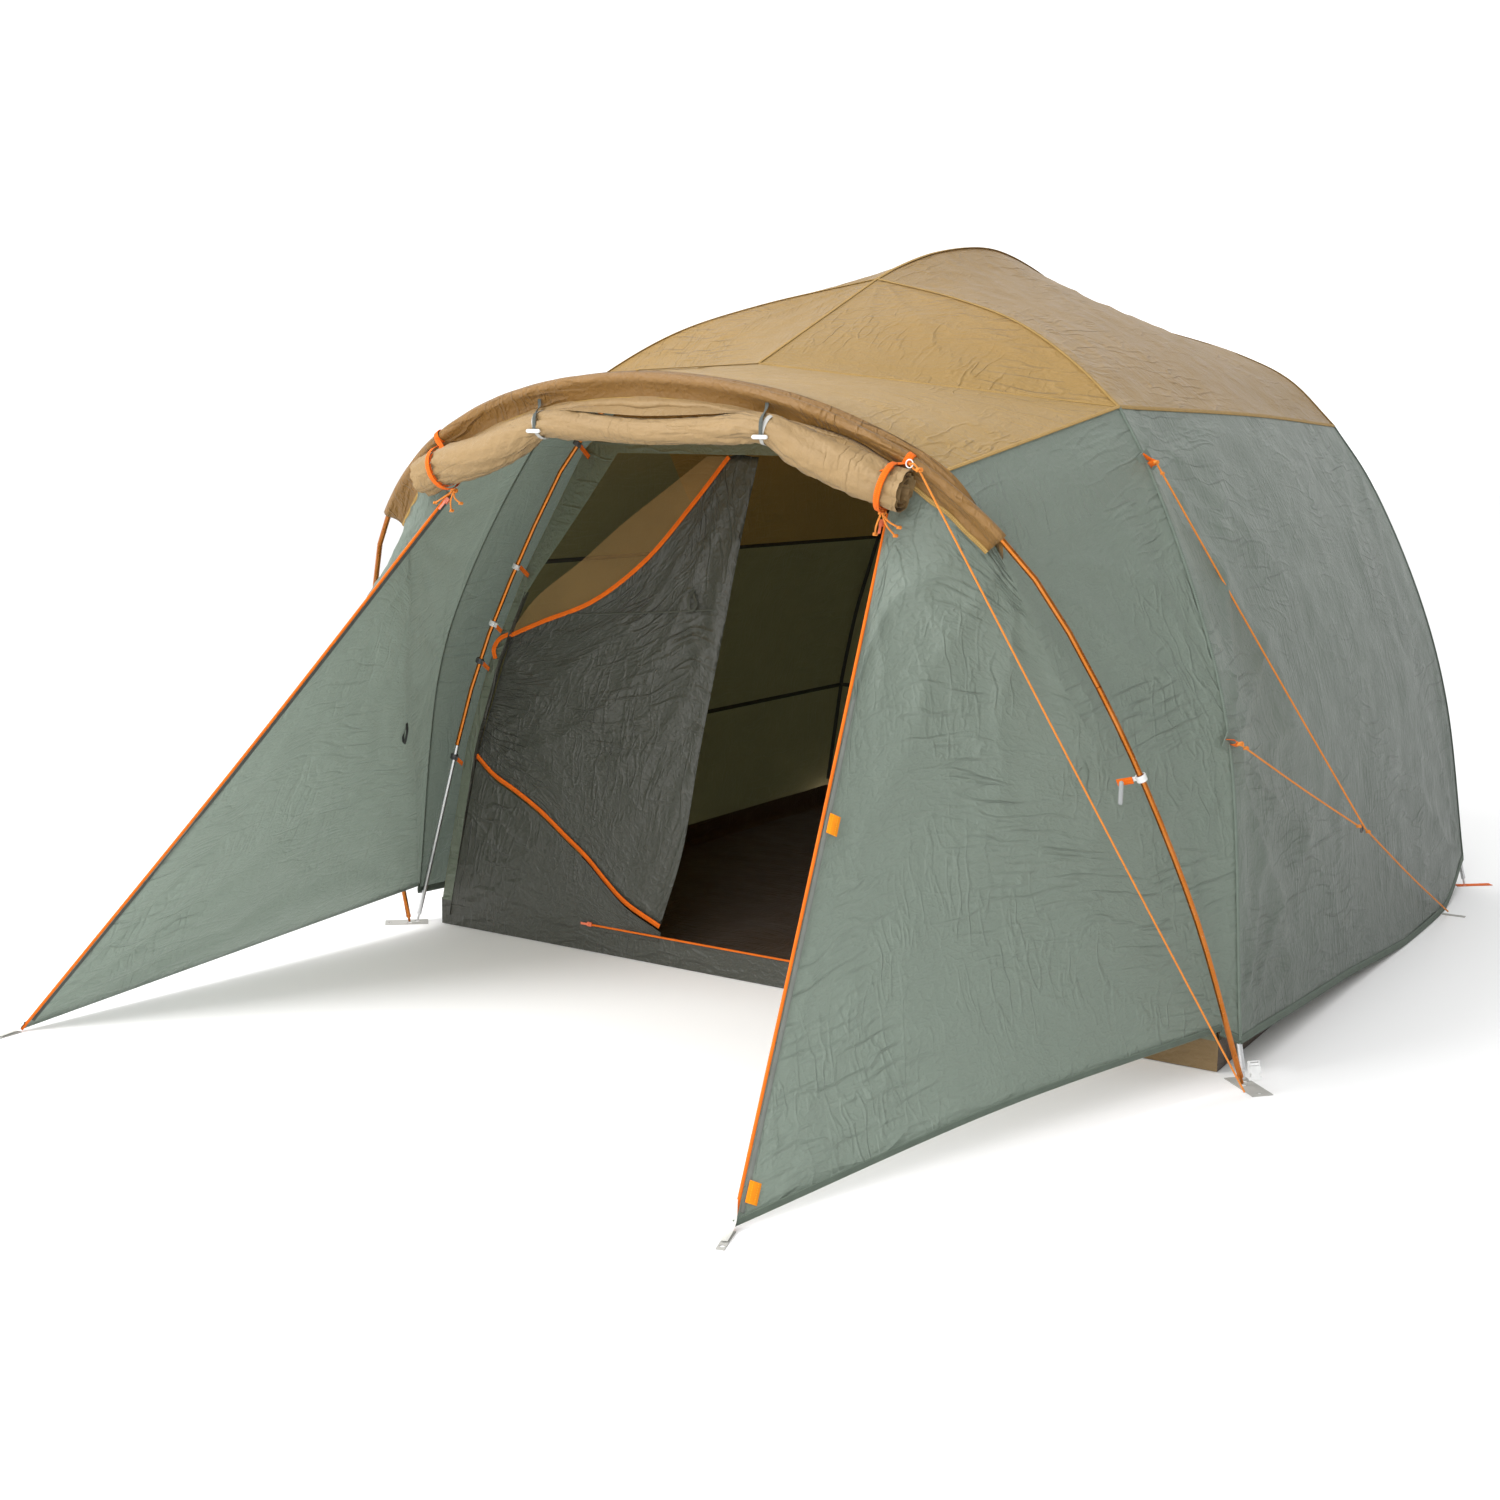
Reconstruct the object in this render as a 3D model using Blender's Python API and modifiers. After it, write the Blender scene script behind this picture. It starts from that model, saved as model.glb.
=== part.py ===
"""Family dome tent on hubbed aluminium poles, with a fly and a staked-out front vestibule.

Metres, +Z up, +X to the right of someone looking in at the door, +Y towards the rear.
The origin is on the ground at the centre of the floor.
"""

import math

import bmesh
import bpy
from mathutils import Matrix, Vector

# Frame: where the poles stand and meet
FOOT_X = 1.2            # half the width between the corners
FOOT_Y = 1.129          # half the depth between the corners
LEG_FOOT_Y = 1.119      # the leg's own foot, just inside the corner
ARCH_FOOT_Y = 1.145     # the arch pole's foot, just outside the corner
HUB_Y = 0.672           # half the distance between the two hubs
HUB_Z = 1.752
ARCH_LEAN = math.radians(22.0)

# Legs in the upright plane from a foot to its hub: distance from the foot, height
LEG_JOINT = (0.127, 0.517)
LEG_BEND = [(0.0, 0.0), (0.0635, 0.2585), LEG_JOINT, (0.197, 0.758), (0.307, 1.023), (0.472, 1.344),
            (0.6, 1.49), (0.761, 1.605), (0.976, 1.69)]
RIDGE_BEND = [(-0.325, 1.855), (0.0, 1.888), (0.325, 1.855)]
# Arch pole in its own leaning plane: distance from the middle, height along the plane
ARCH_BEND = [(1.2, 0.03), (1.125, 0.47), (0.98, 0.95), (0.84, 1.235), (0.635, 1.435), (0.35, 1.565)]
ARCH_TOP = 1.612

# Pole stock
POLE_R = 0.0065
POLE_WALL = 0.0012
INSERT_R = 0.0038        # the insert that slides into the next section
INSERT_FAST_R = 0.0053   # and its other half, fast in its own section
INSERT_WALL = 0.0014
INSERT_REACH = 0.03
INSERT_HOLD = 0.015
TIP_START = 0.03        # height of the tube's cut end over the ground
HUB_GAP = 0.028         # from a hub's centre to a tube's cut end
SOCKET_REACH = 0.066

# Fly: corner seam over each leg, as distance from the foot and height
SEAM_LOW_FRONT = [(0.014, 0.094), (0.088, 0.74), (0.187, 1.017), (0.357, 1.331), (0.444, 1.451)]
SEAM_HIGH_FRONT = [(0.444, 1.451), (0.586, 1.552), (0.761, 1.645), (0.976, 1.712), (1.284, 1.779)]
SEAM_LOW_REAR = [(0.014, 0.09), (0.102, 0.6), (0.205, 0.92), (0.371, 1.265), (0.49, 1.435)]
SEAM_HIGH_REAR = [(0.49, 1.435), (0.63, 1.572), (0.77, 1.643), (0.976, 1.709), (1.284, 1.779)]
FLY_RIDGE = [(-0.672, 1.779), (-0.565, 1.816), (-0.325, 1.877), (0.0, 1.913)]
EAVE_MIDDLE_X = 0.79
EAVE_MIDDLE_Z = 1.45
BROW = (0.0, -1.241, 1.543)      # where the front roof's centre seam ends
STAKED_HEM_Y = 0.69              # the side hem is pulled down to a stake here
HEM_LIFT = 0.006
ROOF_SAG = -0.05

# Vestibule, in the arch pole's plane: distance from the middle, height along the plane
SLEEVE_BACK = -0.03              # the roof and walls stop this far behind the arch pole
SLEEVE_END = (0.79, 1.215)
SLEEVE_SHOULDER = (0.699, 1.405)
VESTIBULE_RIDGE = [SLEEVE_END, (0.87, 0.98), (0.945, 0.79), (1.045, 0.45), (1.155, 0.115)]
FLAP_TOP_RIGHT = (0.546, 1.305)
FLAP_TOP_LEFT = (-0.623, 1.32)
FLAP_TIP_RIGHT = (0.694, -2.394, 0.004)
FLAP_TIP_LEFT = (-1.265, -2.385, 0.004)
FLAP_HOLLOW = -0.075             # how far each flap's middle falls in behind its edges
FLAP_HEM_RISE = 0.022            # how far the right flap's hem arches up between its ends
ZIP_EDGE_SAG = 0.012

# Inner tent
INNER_DROP = 0.025               # the canopy hangs this far inside the poles
FLOOR_TUCK = 0.06                # and this far inside the feet at the floor
FLOOR_WALL = 0.075
SILL_Z = 0.082
EAVE_Z = 1.40                    # where the canopy's walls change to its roof
DOOR_JAMB = 0.965                # doorway's half width as a share of the front wall's
DOOR_HEAD_Z = 1.33
JAMB_TURN_Z = 0.93               # above this the left jamb leans in
JAMB_HEAD = 0.84                 # to this share of the half width at the door's head

FABRIC = 0.0012
SEAM_GAP = 0.003                 # each fly panel stops this far short of its seam
GUY_R = 0.0022

# Directions from a foot to its hub, seen from above, for the fly's seams and for the legs
SEAM_RUN = math.hypot(FOOT_X, FOOT_Y - HUB_Y)
LEG_RUN = math.hypot(FOOT_X, LEG_FOOT_Y - HUB_Y)
FORWARD = Vector((0.0, -math.cos(ARCH_LEAN), -math.sin(ARCH_LEAN)))
RIGHT, LEFT, FRONT, REAR = 1, -1, -1, 1
CORNERS = {
    "front_right": (RIGHT, FRONT),
    "front_left": (LEFT, FRONT),
    "rear_right": (RIGHT, REAR),
    "rear_left": (LEFT, REAR),
}


# ---------------------------------------------------------------- scene and materials

def clear_scene():
    for item in list(bpy.data.objects):
        bpy.data.objects.remove(item, do_unlink=True)


def new_collection(name):
    collection = bpy.data.collections.new(name)
    bpy.context.scene.collection.children.link(collection)
    return collection


def new_material(name, colour, roughness, metallic=0.0):
    material = bpy.data.materials.new(name)
    material.use_nodes = True
    shader = material.node_tree.nodes["Principled BSDF"]
    shader.inputs["Base Color"].default_value = (*colour, 1.0)
    shader.inputs["Roughness"].default_value = roughness
    shader.inputs["Metallic"].default_value = metallic
    return material


clear_scene()
TENT = new_collection("dome_tent")
CUTTERS = new_collection("cutters")
MATERIALS = {
    "tan_fabric": new_material("tan_fabric", (0.55, 0.385, 0.18), 0.75),
    "sage_fabric": new_material("sage_fabric", (0.23, 0.275, 0.235), 0.75),
    "grey_fabric": new_material("grey_fabric", (0.08, 0.082, 0.068), 0.8),
    "floor_fabric": new_material("floor_fabric", (0.1, 0.065, 0.035), 0.7),
    "tan_mesh": new_material("tan_mesh", (0.3, 0.16, 0.06), 0.85),
    "orange_tube": new_material("orange_tube", (0.55, 0.16, 0.03), 0.3, 1.0),
    "silver_tube": new_material("silver_tube", (0.6, 0.61, 0.62), 0.35, 1.0),
    "black_plastic": new_material("black_plastic", (0.03, 0.03, 0.032), 0.5),
    "pale_plastic": new_material("pale_plastic", (0.7, 0.71, 0.7), 0.45),
    "grey_webbing": new_material("grey_webbing", (0.62, 0.62, 0.6), 0.85),
    "orange_webbing": new_material("orange_webbing", (0.8, 0.22, 0.03), 0.8),
    "orange_cord": new_material("orange_cord", (0.85, 0.3, 0.07), 0.75),
}


# ---------------------------------------------------------------- making meshes

def add_object(name, data, material):
    data.materials.clear()
    data.materials.append(MATERIALS[material])
    item = bpy.data.objects.new(name, data)
    TENT.objects.link(item)
    return item


def mesh_from(bm, name):
    mesh = bpy.data.meshes.new(name)
    bm.to_mesh(mesh)
    bm.free()
    return mesh


def baked_mesh(item):
    """The evaluated mesh of an object, which is then removed."""
    depsgraph = bpy.context.evaluated_depsgraph_get()
    mesh = bpy.data.meshes.new_from_object(item.evaluated_get(depsgraph))
    mesh.transform(item.matrix_world)
    bpy.data.objects.remove(item)
    return mesh


def frame_matrix(origin, along, across=(0.0, 0.0, 1.0)):
    """Local Z runs along `along`, and local X is as near to `across` as it can be."""
    z = Vector(along).normalized()
    x = Vector(across) - z * Vector(across).dot(z)
    x.normalize()
    y = z.cross(x)
    matrix = Matrix((x, y, z)).transposed().to_4x4()
    matrix.translation = Vector(origin)
    return matrix


def block_mesh(size, matrix):
    """A box whose local centre is the matrix's origin."""
    bm = bmesh.new()
    bmesh.ops.create_cube(bm, size=1.0, matrix=matrix @ Matrix.Diagonal((*size, 1.0)))
    return mesh_from(bm, "block")


def rod_mesh(radius, length, matrix, sides=16):
    """A cylinder from the matrix's origin along its local Z."""
    bm = bmesh.new()
    middle = matrix @ Matrix.Translation((0.0, 0.0, length / 2))
    bmesh.ops.create_cone(bm, cap_ends=True, segments=sides, radius1=radius, radius2=radius,
                          depth=length, matrix=middle)
    return mesh_from(bm, "rod")


def merged_mesh(solids, cuts=()):
    """One mesh made of overlapping solids, less any cuts."""
    def placed(mesh):
        item = bpy.data.objects.new("tool", mesh)
        CUTTERS.objects.link(item)
        return item

    body = placed(solids[0])
    tools = [(placed(mesh), "UNION") for mesh in solids[1:]]
    tools += [(placed(mesh), "DIFFERENCE") for mesh in cuts]
    for tool, operation in tools:
        modifier = body.modifiers.new(operation, "BOOLEAN")
        modifier.operation = operation
        modifier.object = tool
    mesh = baked_mesh(body)
    for tool, _ in tools:
        bpy.data.objects.remove(tool)
    return mesh


def joined(name, material, solids, cuts=(), smooth=False):
    data = merged_mesh(solids, cuts)
    if smooth:
        round_off(data)
    return add_object(name, data, material)


def round_off(data):
    data.shade_smooth()
    data.set_sharp_from_angle(angle=math.radians(40))


def moved(mesh, matrix):
    copy = mesh.copy()
    copy.transform(matrix)
    return copy


def turned_mesh(profile, steps=12, closed=False):
    """A profile of (radius, height), listed down its outer side, turned about Z."""
    bm = bmesh.new()
    verts = [bm.verts.new((r, 0.0, z)) for r, z in profile]
    pairs = list(zip(verts, verts[1:]))
    if closed:
        pairs.append((verts[-1], verts[0]))
    for a, b in pairs:
        bm.edges.new((a, b))
    item = bpy.data.objects.new("turned", mesh_from(bm, "turned"))
    CUTTERS.objects.link(item)
    screw = item.modifiers.new("turn", "SCREW")
    screw.steps = steps
    screw.render_steps = steps
    screw.use_merge_vertices = True
    screw.merge_threshold = 0.0001
    return baked_mesh(item)


def ring_mesh(inner, outer, height, steps=12):
    half = height / 2
    return turned_mesh([(outer, half), (outer, -half), (inner, -half), (inner, half)], steps, True)


# ---------------------------------------------------------------- paths and patches

class Path:
    """A smooth curve through a few points, read by its share of the whole length."""

    def __init__(self, points, steps=10):
        knots = [Vector(p) for p in points]
        self.points = [knots[0]]
        if len(knots) == 2:
            self.points.append(knots[1])
        else:
            self._fill(knots, steps)
        self.marks = [0.0]
        for a, b in zip(self.points, self.points[1:]):
            self.marks.append(self.marks[-1] + (b - a).length)
        self.length = self.marks[-1]

    def _fill(self, knots, steps):
        ends = [2 * knots[0] - knots[1]] + knots + [2 * knots[-1] - knots[-2]]
        for i in range(len(knots) - 1):
            p0, p1, p2, p3 = ends[i:i + 4]
            t1 = (p1 - p0).length ** 0.5
            t2 = t1 + (p2 - p1).length ** 0.5
            t3 = t2 + (p3 - p2).length ** 0.5
            for k in range(1, steps + 1):
                t = t1 + (t2 - t1) * k / steps
                a1 = p0.lerp(p1, t / t1)
                a2 = p1.lerp(p2, (t - t1) / (t2 - t1))
                a3 = p2.lerp(p3, (t - t2) / (t3 - t2))
                b1 = a1.lerp(a2, t / t2)
                b2 = a2.lerp(a3, (t - t1) / (t3 - t1))
                self.points.append(b1.lerp(b2, (t - t1) / (t2 - t1)))

    def at(self, share):
        reach = min(max(share, 0.0), 1.0) * self.length
        for i in range(len(self.points) - 1):
            if reach <= self.marks[i + 1] or i == len(self.points) - 2:
                span = self.marks[i + 1] - self.marks[i]
                part = 0.0 if span == 0.0 else (reach - self.marks[i]) / span
                return self.points[i].lerp(self.points[i + 1], part)

    def heading(self, share):
        step = 0.004
        return (self.at(share + step) - self.at(share - step)).normalized()

    def cut(self, start, end, count):
        """Points evenly spaced between two distances along the path."""
        return [self.at((start + (end - start) * i / count) / self.length) for i in range(count + 1)]


def patch_rows(bottom, top, left, right, across, up, trims=(0.0, 0.0, 0.0, 0.0), bulge=0.0,
               outward=None):
    """Rows of points over the surface that four edges span, each edge trimmed back in metres.

    The trims are for the left, right, bottom and top edges. A bulge moves the middle outward.
    """
    corners = (bottom.at(0), bottom.at(1), top.at(0), top.at(1))
    height = (left.length + right.length) / 2
    rows = []
    for j in range(up + 1):
        low = trims[2] / height
        high = 1 - trims[3] / height
        v = low + (high - low) * j / up
        width = (right.at(v) - left.at(v)).length
        row = []
        for i in range(across + 1):
            start = trims[0] / width
            end = 1 - trims[1] / width
            u = start + (end - start) * i / across
            ruled_up = bottom.at(u).lerp(top.at(u), v)
            ruled_across = left.at(v).lerp(right.at(v), u)
            near = corners[0].lerp(corners[1], u)
            far = corners[2].lerp(corners[3], u)
            point = ruled_up + ruled_across - near.lerp(far, v)
            if bulge:
                point += Vector(outward) * bulge * 16 * u * (1 - u) * v * (1 - v)
            row.append(point)
        rows.append(row)
    return rows


def both_halves(rows):
    """A right half whose first column is the centre line, joined to its mirror image."""
    return [[Vector((-p.x, p.y, p.z)) for p in reversed(row[1:])] + row for row in rows]


def sheet(name, rows, material, outward, keep=None, more=()):
    """A closed thin solid under a grid of points, and under more grids that share its edges.

    `keep` says which faces stay, by their centre.
    """
    bm = bmesh.new()
    for part in (rows, *more):
        grid = [[bm.verts.new(p) for p in row] for row in part]
        for low, high in zip(grid, grid[1:]):
            for i in range(len(low) - 1):
                bm.faces.new((low[i], low[i + 1], high[i + 1], high[i]))
    bmesh.ops.remove_doubles(bm, verts=bm.verts, dist=0.00005)
    if keep:
        spare = [f for f in bm.faces if not keep(f.calc_center_median())]
        bmesh.ops.delete(bm, geom=spare, context="FACES")
    bmesh.ops.recalc_face_normals(bm, faces=bm.faces)
    facing = sum(f.normal.dot(Vector(outward)) * f.calc_area() for f in bm.faces)
    if facing < 0:
        bmesh.ops.reverse_faces(bm, faces=bm.faces)
    data = mesh_from(bm, name)
    data.shade_smooth()
    item = add_object(name, data, material)
    solid = item.modifiers.new("thickness", "SOLIDIFY")
    solid.thickness = FABRIC
    solid.offset = -1.0
    return item


def swept(name, routes, radius, material, caps=True, resolution=2, swell=None):
    """A round section along each list of points, with an optional width at each point."""
    curve = bpy.data.curves.new(name, "CURVE")
    curve.dimensions = "3D"
    curve.bevel_depth = radius
    curve.bevel_resolution = resolution
    curve.use_fill_caps = caps
    for route in routes:
        spline = curve.splines.new("POLY")
        spline.points.add(len(route) - 1)
        for i, point in enumerate(route):
            spline.points[i].co = (*point, 1.0)
            spline.points[i].radius = swell[i] if swell else 1.0
    return add_object(name, curve, material)


def hollow_mesh(route, radius, wall, swell=None):
    """An open-ended tube along a list of points."""
    source = swept("tube", [route], radius, "silver_tube", caps=False, swell=swell)
    item = bpy.data.objects.new("tube_wall", baked_mesh(source))
    CUTTERS.objects.link(item)
    solid = item.modifiers.new("wall", "SOLIDIFY")
    solid.thickness = wall
    solid.offset = -1.0
    return baked_mesh(item)


# ---------------------------------------------------------------- where things are

def leg_point(side, end, s, z):
    x = FOOT_X * (1 - s / LEG_RUN)
    y = LEG_FOOT_Y - (LEG_FOOT_Y - HUB_Y) * s / LEG_RUN
    return Vector((side * x, end * y, z))


def seam_point(side, end, s, z, proud=0.0):
    s = s - proud
    x = FOOT_X * (1 - s / SEAM_RUN)
    y = FOOT_Y - (FOOT_Y - HUB_Y) * s / SEAM_RUN
    return Vector((side * x, end * y, z))


def seam_low(side, end):
    outline = SEAM_LOW_FRONT if end == FRONT else SEAM_LOW_REAR
    return Path([seam_point(side, end, s, z) for s, z in outline])


def seam_high(side, end):
    outline = SEAM_HIGH_FRONT if end == FRONT else SEAM_HIGH_REAR
    return Path([seam_point(side, end, s, z) for s, z in outline])


def shoulder_point(side, end):
    """Where a corner seam passes from the walls to the roof."""
    return seam_low(side, end).at(1.0)


def hem_point(side, end):
    return seam_low(side, end).at(0.0)


def arch_point(x, h, forward=0.0):
    base = Vector((x, -ARCH_FOOT_Y - h * math.sin(ARCH_LEAN), h * math.cos(ARCH_LEAN)))
    return base + FORWARD * forward


def leg_path(side, end):
    outline = LEG_BEND + [(LEG_RUN, HUB_Z)]
    return Path([leg_point(side, end, s, z) for s, z in outline])


LEG_JOINT_AT = math.hypot(*LEG_JOINT)
ARCH = Path([arch_point(-x, h) for x, h in ARCH_BEND] + [arch_point(0.0, ARCH_TOP)]
            + [arch_point(x, h) for x, h in reversed(ARCH_BEND)])
ARCH_JOINT_AT = 0.96             # distance along the arch from a foot to its section joint
JOINT_GAP = 0.001
RIDGE = Path([(0.0, -HUB_Y, HUB_Z)] + [(0.0, y, z) for y, z in RIDGE_BEND] + [(0.0, HUB_Y, HUB_Z)])


def arch_offset(share, outward, forward):
    """A point beside the arch pole: outward in its plane, and forward of it."""
    heading = ARCH.heading(share)
    radial = heading.cross(FORWARD)
    if radial.z < 0:
        radial = -radial
    if abs(heading.z) > 0.98:
        radial = Vector((math.copysign(1.0, ARCH.at(share).x), 0.0, 0.0))
    return ARCH.at(share) + radial * outward + FORWARD * forward


# ---------------------------------------------------------------- poles

TIP_PROFILE = [(0.0, 0.014), (0.0053, 0.0135), (0.0053, -0.0003), (0.0068, -0.0006), (0.0068, -0.007),
               (0.0034, -0.0085), (0.0034, -0.0235), (0.0, -0.0255)]


def tip_mesh(path, reverse=False):
    """The moulded tip fast in a section's cut end, its peg pointing at the ground."""
    at = path.at(1.0) if reverse else path.at(0.0)
    aim = -path.heading(1.0) if reverse else path.heading(0.0)
    return moved(turned_mesh(TIP_PROFILE, 10), frame_matrix(at, aim, (1, 0, 0)))


def insert_mesh(path, joint, outward):
    """The insert at a section's end: outward is +1 where the next section lies further along."""
    marks = [joint - outward * INSERT_HOLD, joint - outward * 0.002, joint + outward * 0.0002,
             joint + outward * INSERT_REACH]
    swell = [INSERT_FAST_R / INSERT_R, INSERT_FAST_R / INSERT_R, 1.0, 1.0]
    route = [path.at(mark / path.length) for mark in marks]
    return hollow_mesh(route, INSERT_R, INSERT_WALL, swell)


def section(name, path, start, stop, count, material, fittings=()):
    tube = hollow_mesh(path.cut(start, stop, count), POLE_R, POLE_WALL)
    joined(name, material, [tube] + list(fittings), smooth=True)


def build_legs():
    for corner, (side, end) in CORNERS.items():
        path = leg_path(side, end)
        lower = Path(path.cut(TIP_START, LEG_JOINT_AT - JOINT_GAP, 3), 1)
        section("leg_lower_" + corner, lower, 0.0, lower.length, 3, "silver_tube", [tip_mesh(lower)])
        insert = insert_mesh(path, LEG_JOINT_AT + JOINT_GAP, -1)
        section("leg_upper_" + corner, path, LEG_JOINT_AT + JOINT_GAP, path.length - HUB_GAP, 11,
                "orange_tube", [insert])


def build_ridge_pole():
    section("ridge_pole", RIDGE, HUB_GAP, RIDGE.length - HUB_GAP, 8, "orange_tube")


def build_arch_sections():
    far = ARCH.length - ARCH_JOINT_AT
    section("arch_pole_left", ARCH, 0.0, ARCH_JOINT_AT - JOINT_GAP, 12, "orange_tube", [tip_mesh(ARCH)])
    section("arch_pole_right", ARCH, far + JOINT_GAP, ARCH.length, 12, "orange_tube",
            [tip_mesh(ARCH, reverse=True)])
    inserts = [insert_mesh(ARCH, ARCH_JOINT_AT + JOINT_GAP, -1), insert_mesh(ARCH, far - JOINT_GAP, 1)]
    section("arch_pole_middle", ARCH, ARCH_JOINT_AT + JOINT_GAP, far - JOINT_GAP, 20, "orange_tube",
            inserts)


def build_hub(name, end):
    centre = Vector((0.0, end * HUB_Y, HUB_Z))
    body_r = 0.024
    body_height = 0.022
    socket_r = 0.0115
    bore_r = 0.008
    arms = [leg_path(side, end) for side in (LEFT, RIGHT)]
    probe = 0.045
    aims = [arm.at(1 - probe / arm.length) - centre for arm in arms]
    near = probe / RIDGE.length
    aims.append(RIDGE.at(near if end == FRONT else 1 - near) - centre)

    up = Vector((0, 0, body_height / 2))
    plate = rod_mesh(body_r, body_height, Matrix.Translation(centre - up), 20)
    across = (1, 0.3, 0)
    sockets = [rod_mesh(socket_r, SOCKET_REACH, frame_matrix(centre, aim, across)) for aim in aims]
    starts = [centre + aim.normalized() * (HUB_GAP - 0.0005) for aim in aims]
    bores = [rod_mesh(bore_r, SOCKET_REACH, frame_matrix(start, aim, across))
             for start, aim in zip(starts, aims)]
    joined(name, "black_plastic", [plate] + sockets, bores, smooth=True)


# ---------------------------------------------------------------- corner webbing and buckles

STRAP_THICK = 0.0016
STRAP_HOLE_R = 0.0075
STAKE_HOLE_R = 0.005
STAKE_REACH = 0.09               # how far a corner strap reaches past the leg's tip


def ground_spot(path, share):
    """Where the line of a pole's foot meets the ground."""
    at = path.at(share)
    aim = path.heading(share)
    spot = at - aim * (at.z / aim.z)
    return Vector((spot.x, spot.y, 0.0))


def strap_mesh(start, finish, width, holes):
    """A flat strap lying on the ground, with round holes through it."""
    lift = Vector((0.0, 0.0, STRAP_THICK / 2))
    matrix = frame_matrix((start + finish) / 2 + lift, (0, 0, 1), finish - start)
    drills = [rod_mesh(radius, 0.02, Matrix.Translation(spot - Vector((0, 0, 0.01))), 12)
              for spot, radius in holes]
    return merged_mesh([block_mesh(((finish - start).length, width, STRAP_THICK), matrix)], drills)


def corner_outward(side, end):
    return Vector((side * 0.74, end * 0.67, 0.0)).normalized()


def build_corner_straps():
    """A strap under each corner's pole tips, out to its stake hole."""
    for corner, (side, end) in CORNERS.items():
        out = corner_outward(side, end)
        leg_spot = ground_spot(leg_path(side, end), 0.0)
        holes = [(leg_spot, STRAP_HOLE_R)]
        shift = Vector((0.0, 0.0, 0.0))
        width = 0.025
        if end == FRONT:
            arch_spot = ground_spot(ARCH, 1.0 if side == RIGHT else 0.0)
            holes.append((arch_spot, STRAP_HOLE_R))
            shift = (arch_spot - leg_spot) / 2
            shift -= out * shift.dot(out)
            width = 0.05
        start = leg_spot - out * 0.03 + shift
        finish = leg_spot + out * STAKE_REACH + shift
        holes.append((finish - out * 0.014, STAKE_HOLE_R))
        add_object("corner_strap_" + corner, strap_mesh(start, finish, width, holes), "grey_webbing")


BUCKLE = Vector((0.026, 0.0085, 0.03))
BUCKLE_POCKET = Vector((0.0205, 0.0052, 0.05))


def buckle_frame():
    """Beside the right arch foot, with local Z down from the fly's corner to the strap."""
    out = corner_outward(RIGHT, FRONT)
    top = Vector((FOOT_X + 0.034, -FOOT_Y - 0.05, 0.076))
    drop = (out * 0.3 + Vector((0.0, 0.0, -1.0))).normalized()
    return frame_matrix(top, drop, out.cross(Vector((0, 0, 1))))


def build_buckle():
    """A side-release buckle: its body below, and the insert that pulls up out of it."""
    place = buckle_frame()

    def block(size, x, z):
        return block_mesh(size, place @ Matrix.Translation((x, 0.0, z)))

    windows = [block((0.004, 0.02, 0.009), x, 0.033) for x in (-0.0118, 0.0118)]
    joined("buckle_body", "pale_plastic", [block(BUCKLE, 0.0, 0.03)],
           [block(BUCKLE_POCKET, 0.0, 0.0148)] + windows)
    prongs = [block((0.006, 0.0034, 0.026), 0.0, 0.0235)]
    prongs += [block((0.0034, 0.0034, 0.021), x, 0.021) for x in (-0.0078, 0.0078)]
    joined("buckle_insert", "pale_plastic", [block((0.025, 0.007, 0.010), 0.0, 0.009)] + prongs,
           [block((0.02, 0.02, 0.003), 0.0, 0.0075)])


# ---------------------------------------------------------------- inner tent

def inner_level(z):
    """Half width, half depth of the canopy at a height, from the leg just outside it."""
    tuck = FLOOR_TUCK + (INNER_DROP - FLOOR_TUCK) * min(z / LEG_JOINT[1], 1.0)
    outline = [(0.0, 0.0)] + LEG_BEND + [(LEG_RUN, HUB_Z)]
    for (s0, z0), (s1, z1) in zip(outline, outline[1:]):
        if z <= z1:
            run = math.hypot(s1 - s0, z1 - z0)
            s = s0 + (s1 - s0) * (z - z0) / (z1 - z0) + tuck * run / (z1 - z0)
            break
    s = min(s, LEG_RUN)
    return FOOT_X * (1 - s / LEG_RUN), LEG_FOOT_Y - (LEG_FOOT_Y - HUB_Y) * s / LEG_RUN


WALL_LEVELS = [SILL_Z, 0.3, 0.517, 0.76, 1.02, 1.22, EAVE_Z]
ROOF_LIMIT = HUB_Z - 0.035
CANOPY_EDGE = 0.004


def build_floor():
    """A bathtub floor: a flat sheet with low upright sides."""
    half_x, half_y = inner_level(FLOOR_WALL)
    bm = bmesh.new()
    size = Matrix.Diagonal((2 * half_x, 2 * half_y, FLOOR_WALL, 1))
    bmesh.ops.create_cube(bm, size=1.0, matrix=Matrix.Translation((0, 0, FLOOR_WALL / 2)) @ size)
    lid = [f for f in bm.faces if f.normal.z > 0.5]
    bmesh.ops.delete(bm, geom=lid, context="FACES_ONLY")
    item = add_object("tent_floor", mesh_from(bm, "tent_floor"), "floor_fabric")
    solid = item.modifiers.new("thickness", "SOLIDIFY")
    solid.thickness = FABRIC
    solid.offset = -1.0


def front_point(u, z, inset=0.0):
    x, y = inner_level(z)
    return Vector((u * x, -y + inset, z))


def build_inner_walls():
    columns = 4
    rows = []
    for z in WALL_LEVELS:
        x, y = inner_level(z)
        turn = [Vector((-x, -y + CANOPY_EDGE, z)), Vector((-x, y, z)), Vector((x, y, z)),
                Vector((x, -y + CANOPY_EDGE, z))]
        row = []
        for a, b in zip(turn, turn[1:]):
            row += [a.lerp(b, i / columns) for i in range(columns)]
        rows.append(row + [turn[-1]])
    sheet("inner_canopy_walls", rows, "grey_fabric", (0, 1, 0))


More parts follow.
